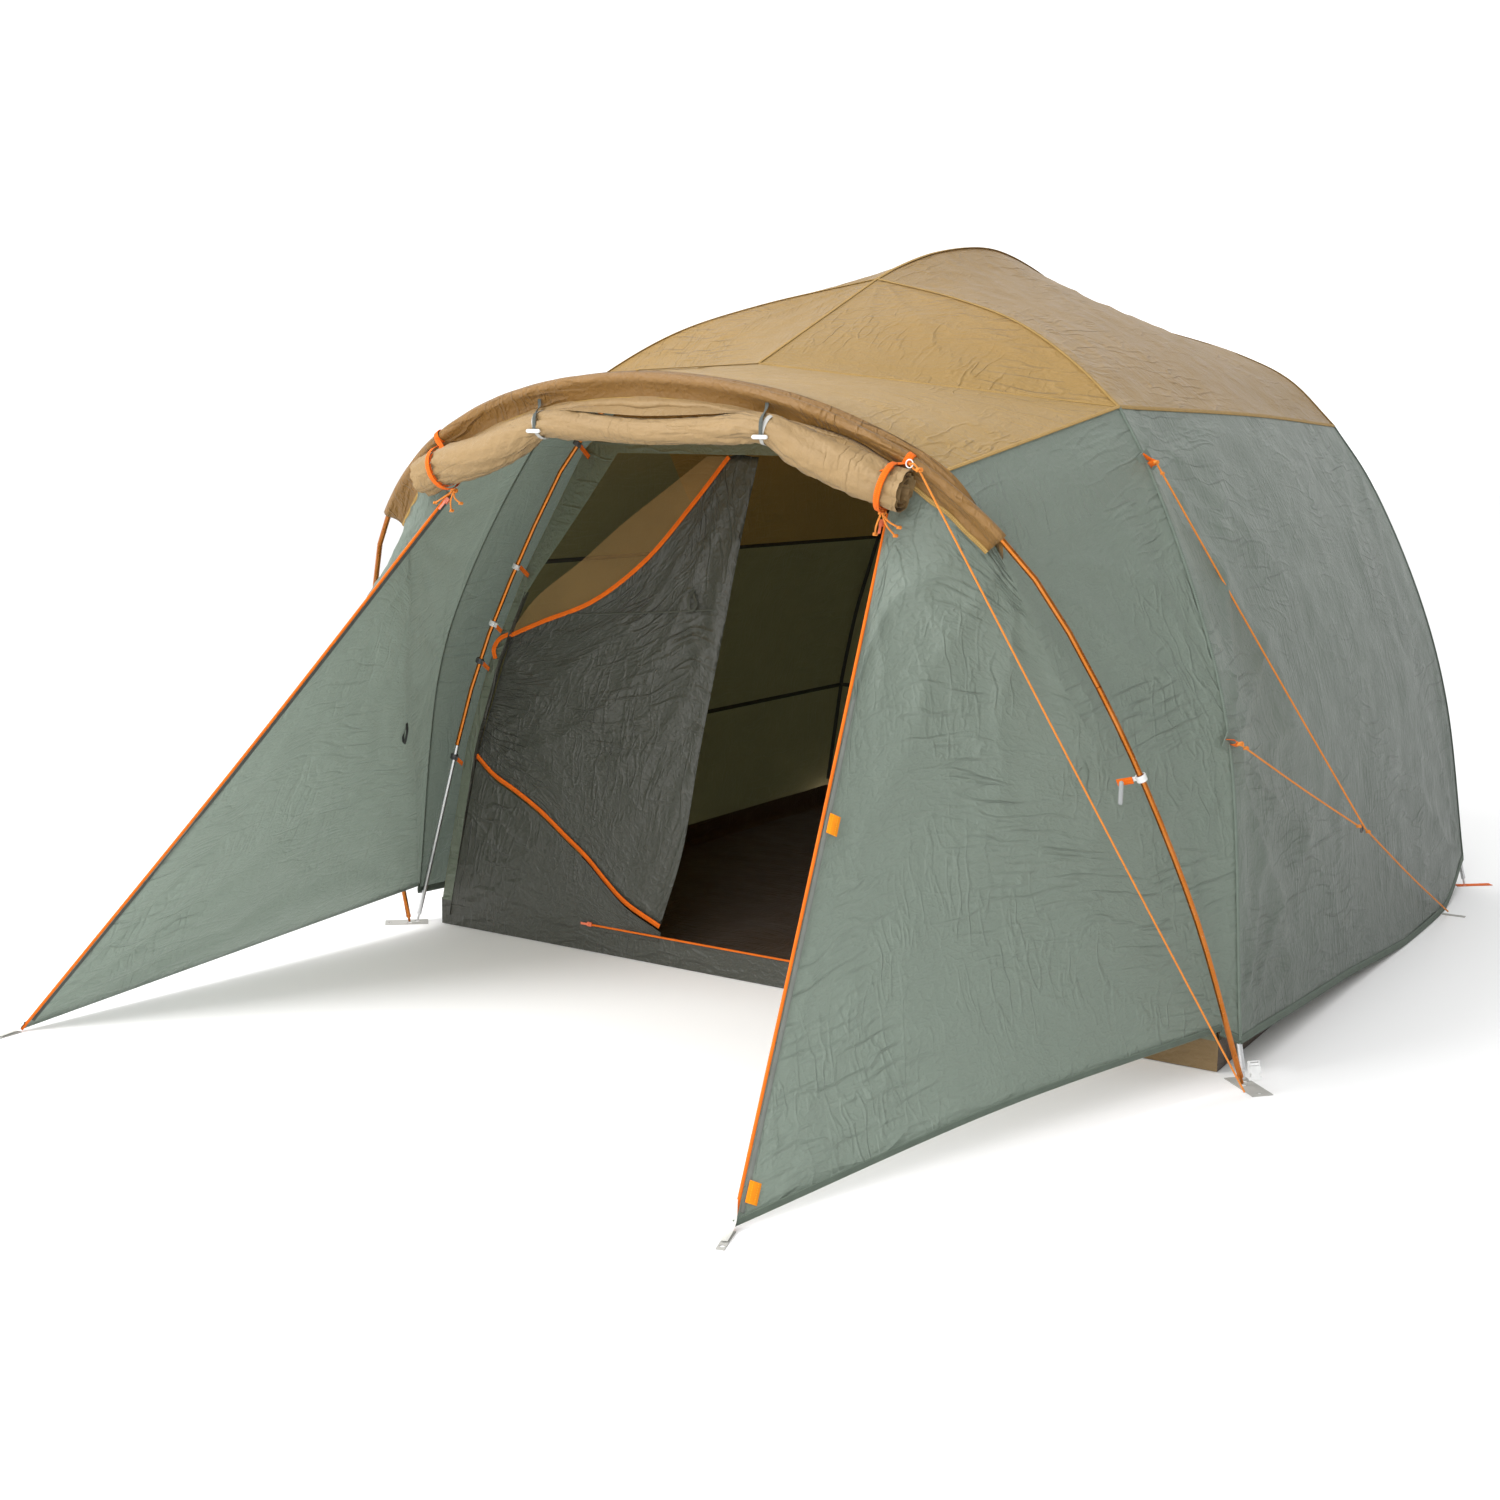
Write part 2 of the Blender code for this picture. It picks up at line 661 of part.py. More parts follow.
def left_jamb(z):
    """The doorway's left edge, as a share of the front wall's half width."""
    lean = max(0.0, z - JAMB_TURN_Z) / (DOOR_HEAD_Z - JAMB_TURN_Z)
    return -DOOR_JAMB + (DOOR_JAMB - JAMB_HEAD) * lean


def build_inner_front():
    levels = [SILL_Z, 0.3, 0.517, 0.76, JAMB_TURN_Z, 1.08, 1.22, DOOR_HEAD_Z, EAVE_Z]
    rows = []
    for z in levels:
        x, _ = inner_level(z)
        edge = 1 - CANOPY_EDGE / x
        marks = [-edge, left_jamb(min(z, DOOR_HEAD_Z)), -0.6, -0.3, 0.0, 0.3, 0.6, DOOR_JAMB, edge]
        rows.append([front_point(u, z) for u in marks])

    def outside_door(centre):
        half = inner_level(centre.z)[0]
        inside = half * left_jamb(centre.z) < centre.x < half * DOOR_JAMB
        return centre.z > DOOR_HEAD_Z or not inside

    sheet("inner_front_wall", rows, "grey_fabric", (0, -1, 0), keep=outside_door)


def build_inner_roof():
    """The canopy's top: a ring over the walls that closes onto the line of the ridge pole."""
    columns = 6
    rises = [0.0, 0.25, 0.55, 0.8, 1.0]
    base_z = EAVE_Z + 0.004
    rows = []
    for rise in rises:
        z = base_z + (ROOF_LIMIT - base_z) * rise
        x, y = inner_level(z)
        if rise == 1.0:
            x, y = 0.0, HUB_Y
        turn = [(-x, -y), (-x, y), (x, y), (x, -y), (-x, -y)]
        row = []
        for leg, ((x0, y0), (x1, y1)) in enumerate(zip(turn, turn[1:])):
            for i in range(columns):
                px = x0 + (x1 - x0) * i / columns
                py = y0 + (y1 - y0) * i / columns
                crown = (RIDGE_BEND[1][1] - HUB_Z) * rise * rise if leg in (0, 2) else 0.0
                share = 1 - (py / y) ** 2
                row.append(Vector((px, py, z + crown * share)))
        rows.append(row + [row[0].copy()])
    sheet("inner_canopy_roof", rows, "tan_fabric", (0, 0, 1))


# The hanging door, as share across the front wall and height
DOOR_BACK = 0.012                # the door hangs this far behind the front wall
DOOR_HINGE_LOW = (-0.965, 0.49)
DOOR_HEM = [DOOR_HINGE_LOW, (-0.9, 0.443), (-0.822, 0.407), (-0.733, 0.36), (-0.644, 0.301),
            (-0.569, 0.25), (-0.511, 0.2), (-0.447, 0.15), (-0.34, 0.1)]
DOOR_FOLD = [(-0.34, 0.1), (-0.298, 0.296), (-0.274, 0.55), (-0.258, 0.8), (-0.254, 1.075),
             (-0.25, 1.325)]
MESH_HEM = [(-0.965, 0.83), (-0.872, 0.873), (-0.715, 0.938), (-0.572, 1.054), (-0.464, 1.2),
            (-0.37, 1.325)]
MESH_EDGE = [(-0.965, 0.86), (-0.93, 0.933), (-0.808, 1.045), (-0.711, 1.144), (-0.569, 1.252),
             (-0.463, 1.325)]


def door_path(points, inset):
    return Path([front_point(u, z, inset) for u, z in points])


def build_inner_door():
    """The door leaf, its top left corner unzipped and fallen, with a strip of mesh above its tape."""
    hem = door_path(DOOR_HEM, DOOR_BACK)
    fold = door_path(DOOR_FOLD, DOOR_BACK)
    hinge = door_path([DOOR_HINGE_LOW, MESH_HEM[0]], DOOR_BACK)
    top = door_path(MESH_HEM + [DOOR_FOLD[-1]], DOOR_BACK)
    rows = patch_rows(hem, top, hinge, fold, 10, 8, (0.0, 0.0, 0.0, SEAM_GAP))
    sheet("inner_door", rows, "grey_fabric", (0, -1, 0))
    lower = door_path(MESH_HEM, DOOR_BACK)
    upper = door_path(MESH_EDGE, DOOR_BACK)
    left = door_path([MESH_HEM[0], MESH_EDGE[0]], DOOR_BACK)
    right = door_path([MESH_HEM[-1], MESH_EDGE[-1]], DOOR_BACK)
    rows = patch_rows(lower, upper, left, right, 10, 2, (0.0, 0.0, SEAM_GAP, 0.0))
    sheet("inner_door_mesh", rows, "tan_mesh", (0, -1, 0))


def build_lower_panel():
    """The fixed panel below the door's curved hem, at the left of the sill."""
    low = 0.012
    hem = door_path([(u + 0.01, z - low) for u, z in DOOR_HEM], 0.0)
    sill = door_path([(DOOR_HEM[0][0] + 0.01, SILL_Z), (DOOR_HEM[-1][0] + 0.01, SILL_Z)], 0.0)
    jamb = Path([sill.at(0.0), hem.at(0.0)])
    end = Path([sill.at(1.0), hem.at(1.0)])
    rows = patch_rows(sill, hem, jamb, end, 8, 4)
    sheet("inner_front_lower_panel", rows, "grey_fabric", (0, -1, 0))


# ---------------------------------------------------------------- fly

def eave_path(side):
    ends = [shoulder_point(side, end) for end in (FRONT, REAR)]
    middle = Vector((side * EAVE_MIDDLE_X, 0.0, EAVE_MIDDLE_Z))
    return Path([ends[0], middle, ends[1]])


def side_hem_path(side):
    front = hem_point(side, FRONT)
    rear = hem_point(side, REAR)
    lead = Vector((side * FOOT_X, -0.36, 0.052))
    stake = Vector((side * (FOOT_X + 0.02), STAKED_HEM_Y, HEM_LIFT))
    return Path([front, lead, stake, rear])


def build_side_wall(name, side):
    front = seam_low(side, FRONT)
    rear = seam_low(side, REAR)
    rows = patch_rows(side_hem_path(side), eave_path(side), front, rear, 10, 6, (SEAM_GAP,) * 4)
    sheet(name, rows, "sage_fabric", (side, 0, 0))


def build_side_roof(name, side):
    front = seam_high(side, FRONT)
    rear = seam_high(side, REAR)
    half = [(0.0, y, z) for y, z in FLY_RIDGE]
    ridge = Path(half + [(0.0, -y, z) for _, y, z in reversed(half[:-1])])
    rows = patch_rows(eave_path(side), ridge, front, rear, 10, 6, (SEAM_GAP,) * 4, ROOF_SAG,
                      (side * 0.5, 0, 0.85))
    sheet(name, rows, "tan_fabric", (side, 0, 1))


def half_triangle(end, foot_point, centre_points=()):
    """The right half of a roof triangle that runs from its hub down to `foot_point`."""
    seam = seam_high(RIGHT, end)
    apex = seam.at(1.0)
    apex.x = 0.0
    corner = seam.at(0.0)
    centre = Path([foot_point, *centre_points, apex])
    bottom = Path([foot_point, corner])
    top = Path([apex, apex + Vector((0.00001, 0.0, 0.0))])
    trims = (0.0, SEAM_GAP, SEAM_GAP, 0.03)
    return patch_rows(bottom, top, centre, seam, 6, 6, trims)


def rear_eave_middle():
    return Vector((0.0, shoulder_point(RIGHT, REAR).y + 0.03, EAVE_MIDDLE_Z))


def build_front_and_rear_roof():
    rows = both_halves(half_triangle(FRONT, Vector(BROW)))
    sheet("fly_roof_front", rows, "tan_fabric", (0, -0.5, 1))
    middle = rear_eave_middle()
    crown = Vector((0.0, (middle.y + HUB_Y) / 2 + 0.02, 1.672))
    rows = both_halves(half_triangle(REAR, middle, [crown]))
    sheet("fly_roof_rear", rows, "tan_fabric", (0, 0.5, 1))


def build_rear_wall():
    seam = seam_low(RIGHT, REAR)
    foot = seam.at(0.0)
    middle = rear_eave_middle()
    stake = Vector((0.0, foot.y + 0.06, HEM_LIFT))
    top = Path([middle, seam.at(1.0)])
    bottom = Path([stake, Vector((0.62, foot.y + 0.035, 0.04)), foot])
    centre = Path([stake, Vector((0.0, foot.y + 0.03, 0.75)), middle])
    rows = patch_rows(bottom, top, centre, seam, 6, 6,
                      (0.0, SEAM_GAP, SEAM_GAP, SEAM_GAP))
    sheet("fly_wall_rear", both_halves(rows), "sage_fabric", (0, 1, 0))


def sleeve_spot(x, h):
    return arch_point(x, h, SLEEVE_BACK)


def build_vestibule_roof():
    crest = arch_offset(0.5, 0.004, SLEEVE_BACK)
    corner = shoulder_point(RIGHT, FRONT)
    shoulder = sleeve_spot(*SLEEVE_SHOULDER)
    bottom = Path([Vector(BROW), corner])
    top_points = [crest, sleeve_spot(0.35, 1.572), sleeve_spot(0.55, 1.497), shoulder]
    rows = patch_rows(bottom, Path(top_points), Path([Vector(BROW), crest]), Path([corner, shoulder]),
                      8, 4, (0.0, SEAM_GAP, SEAM_GAP, 0.0))
    sheet("fly_vestibule_roof", both_halves(rows), "tan_fabric", (0, -0.3, 1))


def vestibule_ridge(side):
    """The line inside the arch pole where a vestibule wall turns into its flap."""
    return Path([arch_point(side * x, h, SLEEVE_BACK) for x, h in VESTIBULE_RIDGE])


def build_vestibule_side(name, side, top, tip, hollow, hem_rise):
    """A vestibule's side: from the fly's corner seam to the arch pole, and on to the zip edge."""
    shoulder = sleeve_spot(side * SLEEVE_SHOULDER[0], SLEEVE_SHOULDER[1])
    seam = seam_low(side, FRONT)
    corner = seam.at(1.0)
    low = seam.at(0.0)
    ridge = [arch_point(side * x, h, SLEEVE_BACK) for x, h in reversed(VESTIBULE_RIDGE)]
    edge = Path(ridge + [sleeve_spot(side * 0.755, 1.32), shoulder])
    crease = Path(edge.cut(0.0, Path(ridge).length, 8), 1)
    upper = Path(edge.cut(Path(ridge).length, edge.length, 2), 1)
    split = seam.length * 0.86
    seam_main = Path(seam.cut(0.0, split, 8), 1)
    seam_top = Path(seam.cut(split, seam.length, 2), 1)
    middle = Path([crease.at(1.0), seam_main.at(1.0)])
    wall = patch_rows(Path([crease.at(0.0), low]), middle, crease, seam_main, 5, 8,
                      (0.0, SEAM_GAP, 0.0, 0.0))
    eave = patch_rows(middle, Path([shoulder, corner]), upper, seam_top, 5, 2,
                      (0.0, SEAM_GAP, 0.0, SEAM_GAP))
    head = arch_point(*top, SLEEVE_BACK)
    tip = Vector(tip)
    foot = crease.at(0.0)
    hem = Path([tip, tip.lerp(foot, 0.5) + Vector((0, 0, hem_rise)), foot])
    zip_edge = Path([tip, tip.lerp(head, 0.5) + Vector((0, 0, -ZIP_EDGE_SAG)), head])
    flap = patch_rows(hem, Path([head, crease.at(1.0)]), zip_edge, crease, 8, 8,
                      (0.0, 0.0, 0.0, 0.0), hollow, (side * 0.85, -0.52, 0.0))
    sheet(name, flap, "sage_fabric", (side, -0.6, 0), more=(wall, eave))


VISOR_REACH = 0.81              # the visor ends where the arch is this far from the middle
VISOR_PROFILE = [(-0.006, -0.0105), (0.003, -0.0112), (0.0095, -0.006), (0.0112, 0.0015),
                 (0.0085, 0.008), (0.0, 0.0112)]
VISOR_DROP = 0.045


def build_visor():
    """The sleeve over the arch pole, with a hood that hangs from its front edge."""
    count = 20
    start = next(i for i in range(200) if abs(ARCH.at(i / 400).x) < VISOR_REACH) / 400
    rows = []
    for outward, forward in VISOR_PROFILE:
        rows.append([arch_offset(start + (1 - 2 * start) * i / count, outward, forward)
                     for i in range(count + 1)])
    for part in (0.5, 1.0):
        rows.append([arch_offset(start + (1 - 2 * start) * i / count, -0.004 - VISOR_DROP * part,
                                 0.0108 - 0.012 * part) for i in range(count + 1)])
    sheet("arch_visor", rows, "tan_fabric", (0, -0.4, 1))


# ---------------------------------------------------------------- rolled door and small parts

ROLL_DEPTH = 0.046               # the roll hangs in front of the visor
ROLL_ROUTE = [(-0.61, 1.39), (-0.547, 1.416), (-0.412, 1.45), (-0.294, 1.492), (-0.228, 1.522),
              (-0.097, 1.525), (0.048, 1.519), (0.209, 1.521), (0.348, 1.515), (0.405, 1.482),
              (0.483, 1.447), (0.6, 1.398), (0.638, 1.388)]
TIE_CLEAR = 0.006                # the ties' slack round the roll
TIE_THICK = 0.0012
ROLL_BANDS = (-0.547, 0.6)
ROLL_LOOPS = (-0.228, 0.348)


def roll_path():
    return Path([arch_point(x, h, ROLL_DEPTH) for x, h in ROLL_ROUTE])


def roll_share(x):
    path = roll_path()
    return min((abs(path.at(i / 300).x - x), i / 300) for i in range(301))[1]


def roll_width(x):
    """The roll's radius: pinched at its loops and bands, full between them."""
    full = 0.042
    pinch = sum(0.018 * math.exp(-((x - at) / 0.05) ** 2) for at in ROLL_LOOPS)
    pinch += sum(0.005 * math.exp(-((x - at) / 0.03) ** 2) for at in ROLL_BANDS)
    return full - pinch


def build_rolled_door():
    path = roll_path()
    route = path.cut(0.0, path.length, 28)
    swell = [roll_width(p.x) for p in route]
    swept("rolled_door", [route], 1.0, "tan_fabric", resolution=4, swell=swell)


def band_place(x):
    path = roll_path()
    share = roll_share(x)
    return frame_matrix(path.at(share), path.heading(share), FORWARD)


def build_roll_ties():
    """Two gathering loops and two elastic end bands round the rolled door."""
    kinds = (("roll_loop", ROLL_LOOPS, "grey_webbing"), ("roll_band", ROLL_BANDS, "orange_webbing"))
    for kind, spots, material in kinds:
        for word, x in zip(("left", "right"), spots):
            inner = roll_width(x) + TIE_CLEAR
            ring = ring_mesh(inner, inner + TIE_THICK, 0.009, 20)
            data = moved(ring, band_place(x))
            round_off(data)
            add_object(f"{kind}_{word}", data, material)


def capsule_mesh(radius, length, steps=10):
    """A bar with domed ends, along Z, centred."""
    half = length / 2 - radius
    bend = [(math.sin(a) * radius, math.cos(a) * radius) for a in (0.0, 0.5, 1.05, math.pi / 2)]
    top = [(r, half + z) for r, z in bend]
    bottom = [(r, -half - z) for r, z in reversed(bend)]
    return turned_mesh(top + bottom, steps)


TOGGLE_R = 0.0045
TOGGLE_LONG = 0.038


def build_roll_toggles():
    bar = capsule_mesh(TOGGLE_R, TOGGLE_LONG)
    for name, x in zip(("roll_toggle_left", "roll_toggle_right"), ROLL_LOOPS):
        reach = roll_width(x) + TIE_CLEAR + TIE_THICK + TOGGLE_R + 0.001
        centre = roll_path().at(roll_share(x)) + FORWARD * reach
        data = bar.copy()
        data.transform(frame_matrix((0, 0, 0), (1, 0, 0), (0, 0, 1)))
        data.shade_smooth()
        item = add_object(name, data, "pale_plastic")
        item.location = centre


CLIP_AT = 0.745                  # distance along the arch from its right foot
CLIP_INNER = 0.0085
CLIP_OUTER = 0.0112
CLIP_LONG = 0.014


def build_arch_clip():
    """The snap ring that holds the vestibule to the arch pole, with a tab to the fabric."""
    share = 1 - CLIP_AT / ARCH.length
    place = frame_matrix(ARCH.at(share), ARCH.heading(share), (1, 0, 0))
    inward = -place.col[0].to_3d()
    tab = frame_matrix(ARCH.at(share) + inward * 0.018, ARCH.heading(share), (1, 0, 0))
    ring = moved(ring_mesh(CLIP_INNER, CLIP_OUTER, CLIP_LONG), place)
    joined("arch_clip", "pale_plastic", [ring, block_mesh((0.018, 0.003, 0.009), tab)])


def build_leg_clip():
    """The snap ring on the front left leg, level with the middle of the door."""
    path = leg_path(LEFT, FRONT)
    share = 0.45
    place = frame_matrix(path.at(share), path.heading(share), (1, 0, 0))
    ring = moved(ring_mesh(CLIP_INNER, CLIP_OUTER, CLIP_LONG), place)
    round_off(ring)
    add_object("leg_clip_front_left", ring, "pale_plastic")


def build_clip_toggle():
    """A small hook that hangs from the clip on the right of the arch."""
    pivot = ARCH.at(1 - CLIP_AT / ARCH.length) + Vector((-0.032, -0.026, -0.004))
    data = capsule_mesh(0.005, 0.05)
    data.transform(Matrix.Translation((0.0, 0.0, -0.027)))
    data.shade_smooth()
    item = add_object("clip_toggle", data, "pale_plastic")
    item.location = pivot


def build_slider(name, place):
    """A zip slider with its pull. Local Z runs along the zip, and local X faces out."""
    pull = place @ Matrix.Translation((0.0036, 0, -0.014))
    joined(name, "orange_webbing", [block_mesh((0.006, 0.011, 0.014), place),
                                    block_mesh((0.0016, 0.006, 0.026), pull)])


ZIP_CLEAR = 0.0085               # from a zip edge to its slider's centre


def build_sliders():
    for name, side, top, tip in (("flap_slider_right", RIGHT, FLAP_TOP_RIGHT, FLAP_TIP_RIGHT),
                                 ("flap_slider_left", LEFT, FLAP_TOP_LEFT, FLAP_TIP_LEFT)):
        head = arch_point(*top, SLEEVE_BACK)
        run = (Vector(tip) - head).normalized()
        inward = Vector((-side, 0.0, 0.0))
        inward -= run * inward.dot(run)
        start = head + run * 0.02 + inward.normalized() * ZIP_CLEAR
        build_slider(name, frame_matrix(start, -run, (0, -1, 0)))
    _, depth = inner_level(SILL_Z)
    start = Vector((-0.6, -depth - 0.007, SILL_Z - 0.004))
    build_slider("sill_slider", frame_matrix(start, (1, 0, 0), (0, -1, 0)))


# ---------------------------------------------------------------- guy lines and stake loops

RING_R = 0.011
RING_THICK = 0.003
GUY_OUT_HIGH = (0.357, 1.331)    # on the fly's seam: distance from the foot, height
GUY_OUT_LOW = (0.088, 0.74)
GUY_OUT_PROUD = 0.028
GUY_RING = (1.262, -0.495, 0.466)
SIDE_STAKE = (1.24, 0.69, 0.01)
ARCH_GUY_HEAD = (0.668, 1.43, 0.032)
ARCH_GUY_FOOT = (1.232, -1.222, 0.014)


def taut_run(start, finish, sag, count):
    """Points along a taut line with a little sag."""
    path = Path([start, start.lerp(finish, 0.5) - Vector((0, 0, sag)), finish])
    return path.cut(0.0, path.length, count)


def flipped(point):
    return Vector((-point[0], point[1], point[2]))


def build_guys():
    head = arch_point(*ARCH_GUY_HEAD)
    swept("arch_guy", [taut_run(head, Vector(ARCH_GUY_FOOT), 0.006, 15)], GUY_R, "orange_cord")
    high = seam_point(RIGHT, FRONT, *GUY_OUT_HIGH, proud=GUY_OUT_PROUD)
    low = seam_point(RIGHT, FRONT, *GUY_OUT_LOW, proud=GUY_OUT_PROUD)
    ring = Vector(GUY_RING)
    beside = ring + Vector((GUY_R + RING_THICK + 0.003, 0.0, 0.0))
    route = taut_run(high, beside, 0.004, 10) + taut_run(beside, Vector(SIDE_STAKE), 0.005, 12)[1:]
    swept("side_guy_long", [route], GUY_R, "orange_cord")
    near = ring + (low - ring).normalized() * (RING_R + 0.003)
    swept("side_guy_short", [taut_run(low, near, 0.003, 6)], GUY_R, "orange_cord")


def build_guy_ring():
    data = moved(ring_mesh(RING_R - 0.0035, RING_R, RING_THICK, 12), frame_matrix(GUY_RING, (1, 0, 0)))
    round_off(data)
    add_object("guy_ring", data, "black_plastic")


def build_stake_loops():
    """Webbing loops on the ground at the flap tips, the side hems and the rear hem."""
    side_end = Vector((SIDE_STAKE[0] + 0.05, SIDE_STAKE[1], 0.0))
    side_start = Vector((SIDE_STAKE[0] - 0.015, SIDE_STAKE[1], 0.0))
    rear_y = hem_point(RIGHT, REAR).y + 0.06
    runs = {
        "stake_loop_flap_right": (Vector((0.696, -2.4, 0.0)), Vector((0.72, -2.475, 0.0))),
        "stake_loop_flap_left": (Vector((-1.265, -2.391, 0.0)), Vector((-1.264, -2.45, 0.0))),
        "stake_loop_side_right": (side_start, side_end),
        "stake_loop_side_left": (flipped(side_start), flipped(side_end)),
        "stake_loop_rear": (Vector((0.0, rear_y + 0.004, 0.0)), Vector((0.0, rear_y + 0.075, 0.0))),
    }
    for name, (start, finish) in runs.items():
        hole = finish - (finish - start).normalized() * 0.014
        add_object(name, strap_mesh(start, finish, 0.016, [(hole, STAKE_HOLE_R)]), "grey_webbing")


build_legs()
build_ridge_pole()
build_arch_sections()
build_hub("hub_front", FRONT)
build_hub("hub_rear", REAR)
build_corner_straps()
build_buckle()
build_floor()
build_inner_walls()
build_inner_front()
build_inner_roof()
build_inner_door()
build_lower_panel()
build_side_wall("fly_wall_right", RIGHT)
build_side_wall("fly_wall_left", LEFT)
build_rear_wall()
build_side_roof("fly_roof_right", RIGHT)
build_side_roof("fly_roof_left", LEFT)
build_front_and_rear_roof()
build_vestibule_roof()
build_vestibule_side("fly_vestibule_right", RIGHT, FLAP_TOP_RIGHT, FLAP_TIP_RIGHT, FLAP_HOLLOW,
                     FLAP_HEM_RISE)
build_vestibule_side("fly_vestibule_left", LEFT, FLAP_TOP_LEFT, FLAP_TIP_LEFT, FLAP_HOLLOW * 0.6, 0.0)
build_visor()
build_rolled_door()
build_roll_ties()
build_roll_toggles()
build_arch_clip()
build_leg_clip()
build_clip_toggle()
build_sliders()
build_guys()
build_guy_ring()
build_stake_loops()
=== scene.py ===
"""The looks of the family dome tent: fabric, webbing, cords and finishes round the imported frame.

Metres, +Z up, +X to the right of someone looking in at the door, +Y towards the rear.
Panels are built from the same edge lines as the CAD solids that they stand for.
"""

import math

import bmesh
import bpy
import numpy as np
from mathutils import Matrix, Vector, noise


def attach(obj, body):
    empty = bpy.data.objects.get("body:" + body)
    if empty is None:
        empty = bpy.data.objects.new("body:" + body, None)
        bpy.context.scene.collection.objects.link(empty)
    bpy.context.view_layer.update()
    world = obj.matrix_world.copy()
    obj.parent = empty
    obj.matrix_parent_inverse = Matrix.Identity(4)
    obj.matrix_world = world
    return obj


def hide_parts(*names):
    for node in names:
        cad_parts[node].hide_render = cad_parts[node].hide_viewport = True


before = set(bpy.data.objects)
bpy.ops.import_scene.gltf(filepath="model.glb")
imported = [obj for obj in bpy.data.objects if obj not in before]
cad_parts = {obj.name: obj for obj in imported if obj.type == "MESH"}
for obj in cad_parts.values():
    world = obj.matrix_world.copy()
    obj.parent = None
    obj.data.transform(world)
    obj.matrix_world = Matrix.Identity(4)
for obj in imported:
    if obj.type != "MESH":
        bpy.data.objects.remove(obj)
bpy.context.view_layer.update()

# ---------------------------------------------------------------- sizes, as in the CAD

FOOT_X = 1.2
FOOT_Y = 1.129
LEG_FOOT_Y = 1.119
ARCH_FOOT_Y = 1.145
HUB_Y = 0.672
HUB_Z = 1.752
ARCH_LEAN = math.radians(22.0)
LEG_JOINT = (0.127, 0.517)
LEG_BEND = [(0.0, 0.0), (0.0635, 0.2585), LEG_JOINT, (0.197, 0.758), (0.307, 1.023), (0.472, 1.344),
            (0.6, 1.49), (0.761, 1.605), (0.976, 1.69)]
RIDGE_TOP = 1.855
ARCH_BEND = [(1.2, 0.03), (1.125, 0.47), (0.98, 0.95), (0.84, 1.235), (0.635, 1.435), (0.35, 1.565)]
ARCH_TOP = 1.612
RIGHT, LEFT, FRONT, REAR = 1, -1, -1, 1
SEAM_LOW = {
    FRONT: [(0.014, 0.094), (0.088, 0.74), (0.187, 1.017), (0.357, 1.331), (0.444, 1.451)],
    REAR: [(0.014, 0.09), (0.102, 0.6), (0.205, 0.92), (0.371, 1.265), (0.49, 1.435)],
}
SEAM_HIGH = {
    FRONT: [(0.444, 1.451), (0.586, 1.552), (0.761, 1.645), (0.976, 1.712), (1.284, 1.779)],
    REAR: [(0.49, 1.435), (0.63, 1.572), (0.77, 1.643), (0.976, 1.709), (1.284, 1.779)],
}
FLY_RIDGE = [(-0.672, 1.779), (-0.565, 1.816), (-0.325, 1.877), (0.0, 1.913)]
EAVE_MIDDLE_X = 0.79
EAVE_MIDDLE_Z = 1.45
BROW = np.array((0.0, -1.241, 1.543))
STAKED_HEM_Y = 0.69
HEM_LIFT = 0.006
ROOF_SAG = -0.05
SLEEVE_BACK = -0.03
SLEEVE_SHOULDER = (0.699, 1.405)
VESTIBULE_RIDGE = [(0.79, 1.215), (0.87, 0.98), (0.945, 0.79), (1.045, 0.45), (1.155, 0.115)]
FLAP_HOLLOW = -0.075
FLAP_HEM_RISE = 0.022
ZIP_EDGE_SAG = 0.012
INNER_DROP = 0.025
FLOOR_TUCK = 0.06
FLOOR_LIFT = 0.0012
FLOOR_WALL = 0.075
WALL_FOOT = FLOOR_WALL - 0.004
SILL_Z = 0.082
TAN_LEVEL = 1.03                          # where the canopy's walls turn from grey to tan
EAVE_Z = 1.40
DOOR_JAMB = 0.965
DOOR_HEAD_Z = 1.33
JAMB_TURN_Z = 0.93
JAMB_HEAD = 0.84
DOOR_BACK = 0.012
DOOR_HINGE_LOW = (-0.965, 0.49)
DOOR_HEM = [DOOR_HINGE_LOW, (-0.9, 0.443), (-0.822, 0.407), (-0.733, 0.36), (-0.644, 0.301),
            (-0.569, 0.25), (-0.511, 0.2), (-0.447, 0.15), (-0.34, 0.1)]
DOOR_FOLD = [(-0.34, 0.1), (-0.298, 0.296), (-0.274, 0.55), (-0.258, 0.8), (-0.254, 1.075),
             (-0.25, 1.325)]
MESH_HEM = [(-0.965, 0.83), (-0.872, 0.873), (-0.715, 0.938), (-0.572, 1.054), (-0.464, 1.2),
            (-0.37, 1.325)]
MESH_EDGE = [(-0.965, 0.86), (-0.93, 0.933), (-0.808, 1.045), (-0.711, 1.144), (-0.569, 1.252),
             (-0.463, 1.325)]
VISOR_REACH = 0.81
VISOR_DROP = 0.045
ROLL_DEPTH = 0.046
ROLL_ROUTE = [(-0.61, 1.39), (-0.547, 1.416), (-0.412, 1.45), (-0.294, 1.492), (-0.228, 1.522),
              (-0.097, 1.525), (0.048, 1.519), (0.209, 1.521), (0.348, 1.515), (0.405, 1.482),
              (0.483, 1.447), (0.6, 1.398), (0.638, 1.388)]
ROLL_BANDS = (-0.547, 0.6)
ROLL_LOOPS = (-0.228, 0.348)
GUY_R = 0.0022
GUY_OUT_HIGH = (0.357, 1.331)
GUY_OUT_LOW = (0.088, 0.74)
GUY_OUT_PROUD = 0.028
GUY_RING = (1.262, -0.495, 0.466)
RING_R = 0.011
RING_THICK = 0.003
SIDE_STAKE = (1.24, 0.69, 0.01)
ARCH_GUY_HEAD = (0.668, 1.43, 0.032)
ARCH_GUY_FOOT = (1.232, -1.222, 0.014)
